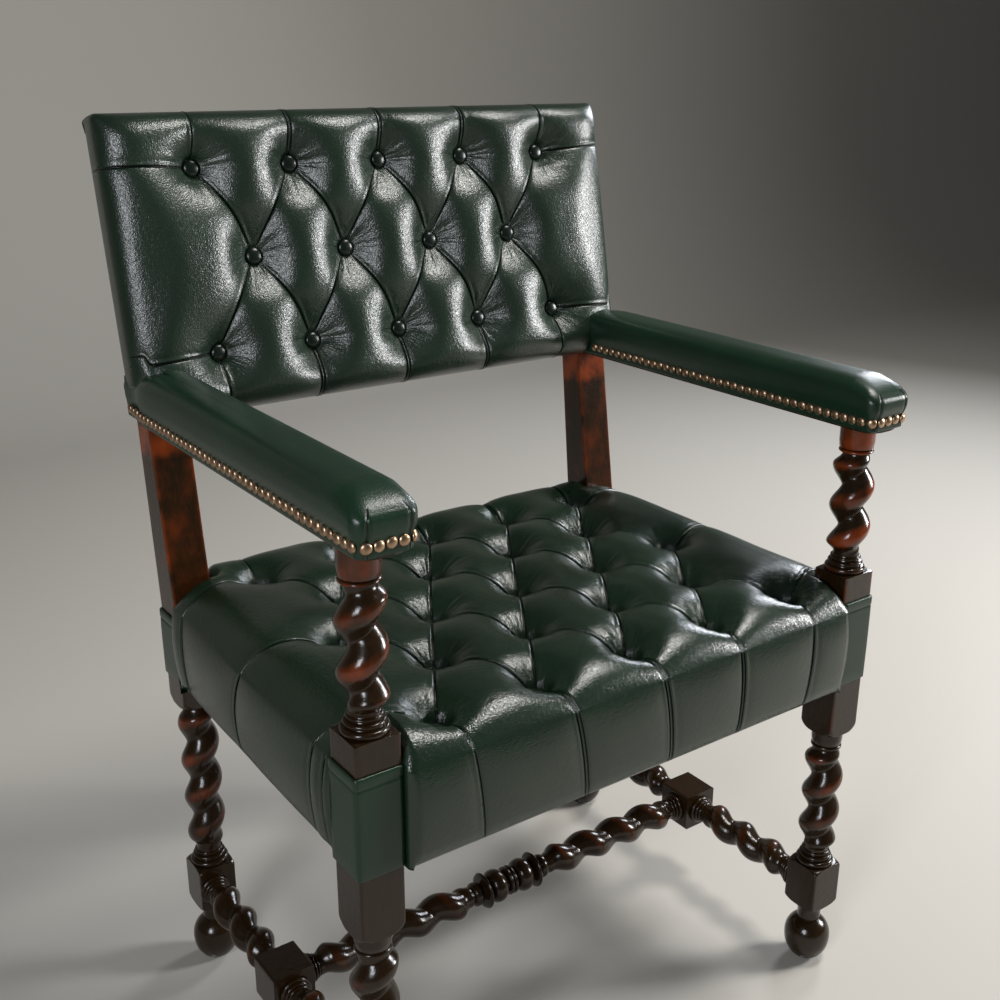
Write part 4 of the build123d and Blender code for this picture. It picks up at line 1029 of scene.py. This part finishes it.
panel["edges"] = panelEdges


def panelPlace(u, v, h):
    # across, up the raked plane from its foot, and out of it
    out = h + panel["base"]
    return np.stack([u, panel["footY"] + v * sin(rake) - out * cos(rake),
                     panel["footZ"] + v * cos(rake) + out * sin(rake)], -1)


def makeBack():
    drawRandom(panel)
    x, y, v, across = padGrid(panel)
    rows, columns = x.shape
    height, marks = padHeights(panel, x.ravel(), y.ravel())
    flatX, flatY = x.ravel(), y.ravel()
    for s in (-1, 1):
        for cornerY in ((panel["low"], -1), (panel["high"], 1)):
            flatX, flatY = rounded(flatX, flatY, s * panel["halfWidth"], cornerY, panel["cornerRadius"])
    # its lower corners stop above the arms
    lift = panel["armLift"] * smoothStep(np.abs(flatX), 283.0, 289.5)
    flatY = flatY + lift * np.clip(1 - flatY / 80, 0, 1)
    ring = ringOf(rows, columns)
    ox, oy = flatX[ring], flatY[ring]
    nx, ny = outwards(ox, oy)
    five = creasePlaces(np.zeros(1), panel["step"], panel["pinch"])[0]
    signed = ox - five[np.abs(ox[:, None] - five).argmin(1)]
    level = np.abs(ny) > 0.7
    sideAt = np.array(panel["sidePleats"])
    sideSigned = oy - sideAt[np.abs(oy[:, None] - sideAt).argmin(1)]
    signed = np.where(level, signed, sideSigned)
    top = panelPlace(flatX, flatY, height)
    top += puffed(panel, v, across, panelPlace)
    points, folds, loops = [top], [marks["fold"]], [ring]
    count = rows * columns
    for h, out in panel["skirt"]:
        fade = np.clip(1 + h / 45, 0, 1)
        mark = (tuck(signed, 0.6) - np.exp(-(signed / 0.9) ** 2)) * fade
        offset = out + mark
        drawn = panel["rearDraw"] * np.clip(-h / 37, 0, 1)
        points.append(panelPlace(ox + nx * (offset - drawn * np.abs(nx)), oy + ny * offset, np.full_like(ox, h)))
        folds.append(np.where(h > -30, np.abs(signed), 50.0))
        loops.append(np.arange(len(ring)) + count)
        count += len(ring)
    return (np.concatenate(points), [gridFaces(rows, columns)] + skirtFaces(loops),
            extended(marks, folds, count))


points, faces, marks = makeBack()
backPiece = addPiece("backLeather", points, faces, backHide, ["back_cushion", "back_webbing", "back_hessian"],
                     marks)
addButtons("backButtons", "back_buttons", panel, panelPlace, np.array([0, -cos(rake), sin(rake)]))

outside = dict(halfWidth=291.0, low=3.5, high=286.5, plane=-41.0, dome=1.4, edge=5.0)


def outsideBack():
    # a flat leather sheet with a soft edge: its thickness rises over the edge as a quarter round
    count = (64, 36)
    u = clustered(np.array([-outside["halfWidth"], -280.0, 280.0, outside["halfWidth"]]), (8, count[0], 8))
    v = clustered(np.array([outside["low"], 17.0, 273.0, outside["high"]]), (8, count[1], 8))
    x, y = np.meshgrid(u, v)
    gap = np.minimum(outside["halfWidth"] - np.abs(x), np.minimum(y - outside["low"], outside["high"] - y))
    t = np.clip(gap / outside["edge"], 0, 1)
    rise = 2.0 * np.sqrt(1 - (1 - t) ** 2) + outside["dome"] * smoothStep(gap, 0, 120)
    rows, columns = x.shape
    outer = panelPlace(x.ravel(), y.ravel(), (outside["plane"] - rise).ravel())
    inner = panelPlace(x.ravel(), y.ravel(), np.full(x.size, outside["plane"] + 0.4))
    ring = ringOf(rows, columns)
    front = gridFaces(rows, columns)
    side = np.stack([ring, ring + rows * columns, np.roll(ring, -1) + rows * columns, np.roll(ring, -1)], -1)
    faces = [front[:, ::-1], front + rows * columns, side[:, ::-1]]
    return addPiece("outsideBack", np.concatenate([outer, inner]), faces, plainHide, ["outside_back"])


outsideBack()
print("back upholstered")

# ---- arms

arm = dict(
    line=276.0, front=-37.6, half=24.5, corner=8.0, waist=668.0, rise=20.0, bulge=3.5, foldAt=17.5,
    droop=15.0, droopFrom=62.0,
    innerEnd=6.0, outerEnd=-27.0, rearDraw=3.0, spine=30.0, nailZ=643.5, nailPitch=10.4,
    hem=((2.3, 638.5), (2.2, 635.3), (1.6, 634.4), (0.7, 634.2), (0.1, 634.6), (0.0, 635.7)),    # inset and height
    outerSink=14.0,          # how far the crown sinks beside the upright, and where it meets the back's face
    innerSink=4.0,
    underTuck=9.0,           # how far the lower edge turns in under the back's corner
)


def armRear(z, out):
    # how far back the arm reaches at a height, to a place this far out of the back's plane
    return panel["footY"] + (z - panel["footZ"]) * tan(rake) - out / cos(rake)


def armOutline(rear, sideCount=60, arcCount=12, frontCount=10):
    # the plan of the arm from its rear round its front: straight, a quarter circle, straight, and back
    half, corner = arm["half"], arm["corner"]
    a = np.linspace(0, pi / 2, arcCount + 1)[1:]
    y1 = arm["front"] + corner
    sideY = rear + (y1 - rear) * (1 - np.cos(np.linspace(0, pi, sideCount + 1))) / 2
    left = np.stack([np.full(sideCount + 1, -half), sideY], -1)
    arc = np.stack([-(half - corner) - corner * np.cos(a), y1 - corner * np.sin(a)], -1)
    flat = np.linspace(-(half - corner), 0, frontCount + 1)[1:]
    front = np.stack([flat, np.full(frontCount, arm["front"])], -1)
    wing = np.concatenate([left, arc, front])
    return np.concatenate([wing, (wing * [-1, 1])[-2::-1]])


def armSurface(side):
    # Level by level from the turned-in lower edge up the side, out to the bulge and in over the crown
    # to the spine. Over the crown the distance from the spine is cos ^ (2 / 3.4) and the height
    # sin ^ (2 / 2.4) of one angle. The rear end leans with the back panel.
    outline = armOutline(0.0)
    n = len(outline)
    tx, ty = np.gradient(outline[:, 0]), np.gradient(outline[:, 1])
    length = np.hypot(tx, ty)
    nx, ny = ty / length, -tx / length
    flip = np.sign(np.sum(nx * outline[:, 0]))
    nx, ny = nx * flip, ny * flip
    spineY = np.maximum(outline[:, 1], arm["front"] + arm["spine"])
    spine = np.stack([0 * spineY, spineY], -1)
    levels = []
    for inset, z in arm["hem"]:
        levels.append((-inset, z, 1.0))
    for z in np.linspace(637.5, arm["waist"], 9)[:-1]:
        levels.append((arm["bulge"] * float(smoothStep(np.array(z), 640, 662)), z, 1.0))
    for a in np.linspace(0, pi / 2, 26):
        levels.append((arm["bulge"], arm["waist"] + arm["rise"] * sin(a) ** (2 / 2.4), cos(a) ** (2 / 3.4)))
    points, folds = [], []
    gap = np.abs(outline[:, 0]) - arm["foldAt"]
    corner = np.exp(-(gap / 1.3) ** 2) * (outline[:, 1] < arm["front"] + arm["corner"])
    # the corner gap goes to the fold attribute, so the hide carries painted shade along these corner folds
    cornerGap = np.where(outline[:, 1] < arm["front"] + arm["corner"] * 0.6, gap, 50.0)
    for out, z, reach in levels:
        edge = outline + np.stack([nx, ny], -1) * out
        p = spine + (edge - spine) * reach
        toFront = np.clip((arm["front"] + arm["droopFrom"] - p[:, 1]) / arm["droopFrom"], 0, 1)
        up = z - arm["droop"] * toFront ** 1.6 * np.clip((z - 648) / 40, 0, 1)
        rumple = corner * smoothStep(np.array(z), 640, 650) * (1 - smoothStep(np.array(z), 668, 684))
        p = p - np.stack([nx, ny], -1) * rumple[:, None]
        points.append(np.stack([p[:, 0], p[:, 1], np.broadcast_to(up, (n,))], -1))
        folds.append(np.where(z < 684, cornerGap, 50.0))
    local = np.concatenate(points)
    # The length is laid from the front to the back's leaning face, and beside the upright to its rear.
    z, outer = local[:, 2].copy(), np.tile(np.sign(outline[:, 0]) == side, len(levels))
    rear = armRear(z, np.where(outer, arm["outerEnd"], arm["innerEnd"]))
    start = arm["front"] + arm["spine"]
    share = np.clip((local[:, 1] - start) / (0.0 - start), 0, 1)
    y = np.where(local[:, 1] > start, start + share * (rear - start), local[:, 1])
    local[:, 1] = y
    high = np.clip((z - 650) / 38, 0, 1)
    behind = smoothStep(y, 372, 412) * outer
    local[:, 2] -= arm["outerSink"] * behind * high
    local[:, 0] -= side * (arm["rearDraw"] + arm["bulge"] * np.clip((z - 640) / 20, 0, 1)) * behind
    turnedIn = np.clip((27 - (armRear(z, 0) - y) * cos(rake)) / 17, 0, 1) ** 2 * ~outer
    local[:, 2] -= arm["innerSink"] * turnedIn * high
    local[:, 0] += side * arm["innerSink"] * turnedIn * (z > 637)
    under = (np.arange(len(local)) < n) * outer * smoothStep(y, 394, 401)
    local[:, 0] -= side * arm["underTuck"] * under
    local[:, 0] += side * arm["line"]
    return local, n, len(levels), np.concatenate(folds)


def makeArm(side, name):
    local, n, levels, fold = armSurface(side)
    rearLeft, rearRight = np.arange(levels) * n, np.arange(levels) * n + n - 1
    end = np.stack([rearLeft[:-1], rearLeft[1:], rearRight[1:], rearRight[:-1]], -1)
    return addPiece(f"arm{name}", local, [gridFaces(levels, n), end], armHide,
                    [f"arm_cover_{name.lower()}", f"arm_padding_{name.lower()}"], {"fold": np.abs(fold)})


nail = dict(radii=np.array([4.5, 5.0, 4.5, 3.2, 1.6]), heights=np.array([-0.4, 0.1, 1.2, 2.1, 2.5]), crown=2.65,
            sides=12, tilt=0.06, drift=0.25, proud=0.7)


def makeNails(side, name):
    # brass domes a pitch apart along the arm's outline, each turned out from it
    outline = armOutline(armRear(arm["nailZ"], 24.0), 80)[::-side]
    outline[0, 1] = armRear(arm["nailZ"], arm["outerEnd"] + 5)
    outline[0, 0] += side * -arm["rearDraw"]
    length = np.concatenate([[0], np.cumsum(np.hypot(*np.diff(outline, axis=0).T))])

    def along(places):
        return np.stack([np.interp(places, length, outline[:, k]) for k in (0, 1)], -1)

    count = int(length[-1] / arm["nailPitch"])
    at = (length[-1] - (count - 1) * arm["nailPitch"]) / 2 + np.arange(count) * arm["nailPitch"]
    x, y = along(at).T
    way = along(at + 1) - along(at - 1)
    way /= np.linalg.norm(way, axis=1)[:, None]
    out = np.stack([way[:, 1], -way[:, 0]], -1)
    out *= np.sign(np.sum(out * np.stack([x, y - 150], -1)))
    sites = []
    for k in range(count):
        axis = np.array([*out[k], 0]) + seed.normal(0, nail["tilt"], 3)
        sites.append((np.array([side * arm["line"] + x[k] + out[k, 0] * nail["proud"], y[k] + out[k, 1] * nail["proud"],
                                arm["nailZ"] + seed.normal(0, nail["drift"])]), axis))
    points, faces = domes(nail["radii"], nail["heights"], nail["crown"], nail["sides"], sites, [0, 0, 1.0])
    return addPiece(f"armNails{name}", points, faces, brass, [f"arm_nails_{name.lower()}"])


armHide = glazedHide("glazed_cow_hide_arms", dict(flatLook, rayDepth=0.0), folded=True)
for side, name in sides:
    makeArm(side, name)
    makeNails(side, name)
print("arms covered and nailed")

# ---- leather round the corners of the seat

wrap = dict(
    thickness=2.0, corner=3.5, low=357.0, frontTop=450.0, rearTop=430.0, hem=10.0,
    # height and how far it stands out: the folded foot, from the low edge, and the stitch line of the hem
    foot=((0, -0.8), (0.5, -0.2), (1.4, 0.1)),
    stitch=((-3, 0.15), (-0.9, 0.0), (-0.2, -0.45), (0.5, -0.1), (1.4, 0.3), (5, 0.4)),
)


def makeWrap(side, name, x, y, way, top, node):
    # an L in plan, carried up: outer and inner paths round the post's corner, with a hem at the top
    half, thick, r = chair["half"], wrap["thickness"], wrap["corner"]
    a = np.linspace(0, pi / 2, 9)
    reach = half + thick
    arcX, arcY = reach - r + r * np.sin(a), reach - r + r * np.cos(a)
    outerX = np.concatenate([np.linspace(-half + 0.6, reach - r, 12)[:-1], arcX, np.full(11, reach)])
    outerY = np.concatenate([np.full(11, reach), arcY, np.linspace(reach - r, -half, 12)[1:]])
    nX = np.concatenate([np.zeros(11), np.sin(a), np.ones(11)])
    nY = np.concatenate([np.ones(11), np.cos(a), np.zeros(11)])
    inner = half + 0.05
    innerX, innerY = np.minimum(outerX, inner), np.minimum(outerY, inner)
    rings = []
    hemAt = top - wrap["hem"]
    for z, out in ([(wrap["low"] + up, out) for up, out in wrap["foot"]] + [(370, 0.2), (390, 0.35), (410, 0.35)]
                   + [(hemAt + up, out) for up, out in wrap["stitch"]]
                   + [(top - 1.6, 0.35), (top - 0.6, 0.0), (top, -0.7)]):
        outer = np.stack([outerX + nX * out, outerY + nY * out, np.full_like(outerX, z)], -1)
        back = np.stack([innerX, innerY, np.full_like(innerX, z)], -1)[::-1]
        rings.append(np.concatenate([outer, back]))
    local = np.concatenate(rings)
    n = len(outerX)
    columns = 2 * n
    faces = [gridFaces(len(rings), columns, closed=True)]
    k = np.arange(n - 1)
    lastRow = (len(rings) - 1) * columns
    faces.append(np.stack([k, columns - 1 - k, columns - 2 - k, k + 1], -1))
    faces.append(np.stack([k, k + 1, columns - 2 - k, columns - 1 - k], -1) + lastRow)
    points = local * [side, way, 1] + [x, y, 0]
    if side * way > 0:
        faces = [f[:, ::-1] for f in faces]
    return addPiece(name, points, [f[:, ::-1] for f in faces], plainHide, [node])


for side, name in sides:
    makeWrap(side, f"frontWrap{name}", side * chair["frontX"], 0, -1, wrap["frontTop"],
             f"front_post_wrap_{name.lower()}")
    makeWrap(side, f"rearWrap{name}", side * chair["rearX"], chair["rearY"], 1, wrap["rearTop"],
             f"rear_post_wrap_{name.lower()}")
print("corners wrapped")

# ---- the cloth under the seat

under = dict(sag=5.0, thickness=0.9, gap=2.0)


def makeUnderCloth():
    # Two sheets a thickness apart, joined at the rim. They hang below their tacked rim by
    # sag * (1 - u ^ 2) * (1 - v ^ 2), and each corner is cut out round a post.
    low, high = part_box("bottom_cloth")
    x1, y0, y1 = high.x * 1000, (low.y - frontLine) * 1000, (high.y - frontLine) * 1000
    cutX = min(x1, chair["rearX"]) - chair["half"] - under["gap"]
    cutY = (max(y0 + 6, chair["half"] + under["gap"]), min(y1 - 6, chair["rearY"] - chair["half"] - under["gap"]))
    u = np.concatenate([[-x1], np.linspace(-cutX, cutX, 41), [x1]])
    v = np.concatenate([[y0], np.linspace(cutY[0], cutY[1], 31), [y1]])
    x, y = np.meshgrid(u, v)
    s, t = np.clip(x / cutX, -1, 1), np.clip(2 * (y - cutY[0]) / (cutY[1] - cutY[0]) - 1, -1, 1)
    z = high.z * 1000 - under["sag"] * (1 - s ** 2) * (1 - t ** 2)
    rows, columns = x.shape
    faces = gridFaces(rows, columns)
    r, c = np.arange(len(faces)) // (columns - 1), np.arange(len(faces)) % (columns - 1)
    corner = ((r == 0) | (r == rows - 2)) & ((c == 0) | (c == columns - 2))
    faces = faces[~corner]
    number = np.arange(rows * columns).reshape(rows, columns)
    ring = np.concatenate([number[0, 1:-2], number[0, -2:-1], number[1, -2:-1], number[1:-2, -1], number[-2, -1:],
                           number[-2, -2:-1], number[-1, -2:1:-1], number[-1, 1:2], number[-2, 1:2],
                           number[-2:1:-1, 0], number[1, 0:1], number[1, 1:2]])
    top = np.stack([x, y, z], -1).reshape(-1, 3)
    bottom = top - [0, 0, under["thickness"]]
    n = len(top)
    side = np.stack([ring, ring + n, np.roll(ring, -1) + n, np.roll(ring, -1)], -1)
    points, parts, _ = compacted(np.concatenate([top, bottom]), [faces, faces[:, ::-1] + n, side], {})
    cloth = addPiece("seatUnderCloth", points, parts, cotton, ["bottom_cloth"])


# ---- the CAD's own pieces

jute = wovenCloth("jute_webbing", "#5C4527", "#A08558", 2.2)
hessian = wovenCloth("hessian", "#7A6038", "#B59A68", 1.6)
cotton = wovenCloth("black_cotton", "#0B0B0B", "#1C1C1C", 0.9)
makeUnderCloth()
slotMaterials = {"frame_wood": beech, "steel": steel, "webbing": jute, "hessian": hessian, "black_cloth": cotton,
                 "wood": boardOak, "leather": plainHide, "stuffing": hessian, "brass": brass}
for row in frame["record"]["subparts"]:
    node = frame["nodes"].get(row["node"])
    if node is None:
        continue
    if not node.material_slots:
        node.data.materials.append(None)
    for materialSlot in node.material_slots:
        materialSlot.link = "OBJECT"
        materialSlot.material = slotMaterials[row["material_slot"]]

# ---- stage, lamps and camera

stage = dict(floor="#BDB9B1", depth=6.0, width=24.0, wallY=3.4, curve=1.2, wallHeight=7.0)


def makeStage():
    # a floor that curves up into a backdrop, as one sheet
    a = np.linspace(0, pi / 2, 17)
    profile = np.concatenate([
        [[-stage["depth"], 0.0]],
        np.stack([stage["wallY"] - stage["curve"] + stage["curve"] * np.sin(a), stage["curve"] * (1 - np.cos(a))], -1),
        [[stage["wallY"], stage["wallHeight"]]]])
    x = np.array([-stage["width"] / 2, stage["width"] / 2])
    points = np.stack([np.tile(x, len(profile)), np.repeat(profile[:, 0], 2), np.repeat(profile[:, 1], 2)], -1)
    mesh = bpy.data.meshes.new("backdrop")
    mesh.from_pydata(points.tolist(), [], gridFaces(len(profile), 2).tolist())
    mesh.polygons.foreach_set("use_smooth", np.ones(len(mesh.polygons), bool))
    paper, tree, principled = newMaterial("backdrop_paper", Roughness=0.9, Specular_IOR_Level=0.2)
    principled.inputs["Base Color"].default_value = fromHex(stage["floor"])
    mesh.materials.append(paper)
    sheet = bpy.data.objects.new("backdrop", mesh)
    bpy.context.scene.collection.objects.link(sheet)


makeStage()

lamps = (
    dict(name="left", place=(-2.1, -1.3, 1.35), target=(0, 0, 0.6), size=(0.6, 0.9), watts=32, colour="#F6F9FF"),
    dict(name="right", place=(2.3, -1.1, 1.15), target=(0, 0, 0.6), size=(0.5, 0.75), watts=60, colour="#FFFFFF"),
    dict(name="overhead", place=(0.9, -0.4, 2.5), target=(0, 0, 0.45), size=(0.55, 0.5), watts=30, colour="#FFFDF8"),
    dict(name="window", place=(2.5, 0.9, 1.6), target=(0, 0, 0.6), size=(0.6, 0.8), watts=32, colour="#F2F6FF"),
)
for lamp in lamps:
    light = bpy.data.lights.new(lamp["name"], "AREA")
    light.shape, light.size, light.size_y = "RECTANGLE", *lamp["size"]
    light.energy = lamp["watts"]
    light.color = fromHex(lamp["colour"])[:3]
    holder = bpy.data.objects.new(lamp["name"], light)
    holder.location = lamp["place"]
    holder.rotation_euler = (Vector(lamp["target"]) - Vector(lamp["place"])).to_track_quat("-Z", "Y").to_euler()
    bpy.context.scene.collection.objects.link(holder)

world = bpy.data.worlds.new("studio")
world.use_nodes = True
world.node_tree.nodes["Background"].inputs["Color"].default_value = fromHex("#C9CCD2")
world.node_tree.nodes["Background"].inputs["Strength"].default_value = 0.09
bpy.context.scene.world = world

# The camera stands where the photograph's does: its place, turn, tilt and focal length in pixels
view = dict(place=(-0.6859, -0.97365, 0.9654), yaw=-0.6202, pitch=-0.3408, roll=0.0027, focal=1239.05, width=1000)
cy, sy, cp, sp = cos(view["yaw"]), sin(view["yaw"]), cos(view["pitch"]), sin(view["pitch"])
forward = np.array([-sy * cp, cy * cp, sp])
right = np.array([cy, sy, 0.0])
up = np.cross(right, forward)
cr, sr = cos(view["roll"]), sin(view["roll"])
right, up = cr * right + sr * up, cr * up - sr * right
camera = bpy.data.objects.new("camera", bpy.data.cameras.new("camera"))
camera.data.sensor_width = 36
camera.data.lens = 36 * view["focal"] / view["width"]
camera.data.clip_start, camera.data.clip_end = 0.05, 50
camera.matrix_world = Matrix([[*(float(v[k]) for v in (right, up, -forward)), view["place"][k]] for k in range(3)]
                             + [[0, 0, 0, 1]])
bpy.context.scene.collection.objects.link(camera)
bpy.context.scene.camera = camera
bpy.context.scene.view_settings.view_transform = "Standard"
print("stage, lamps and camera set")
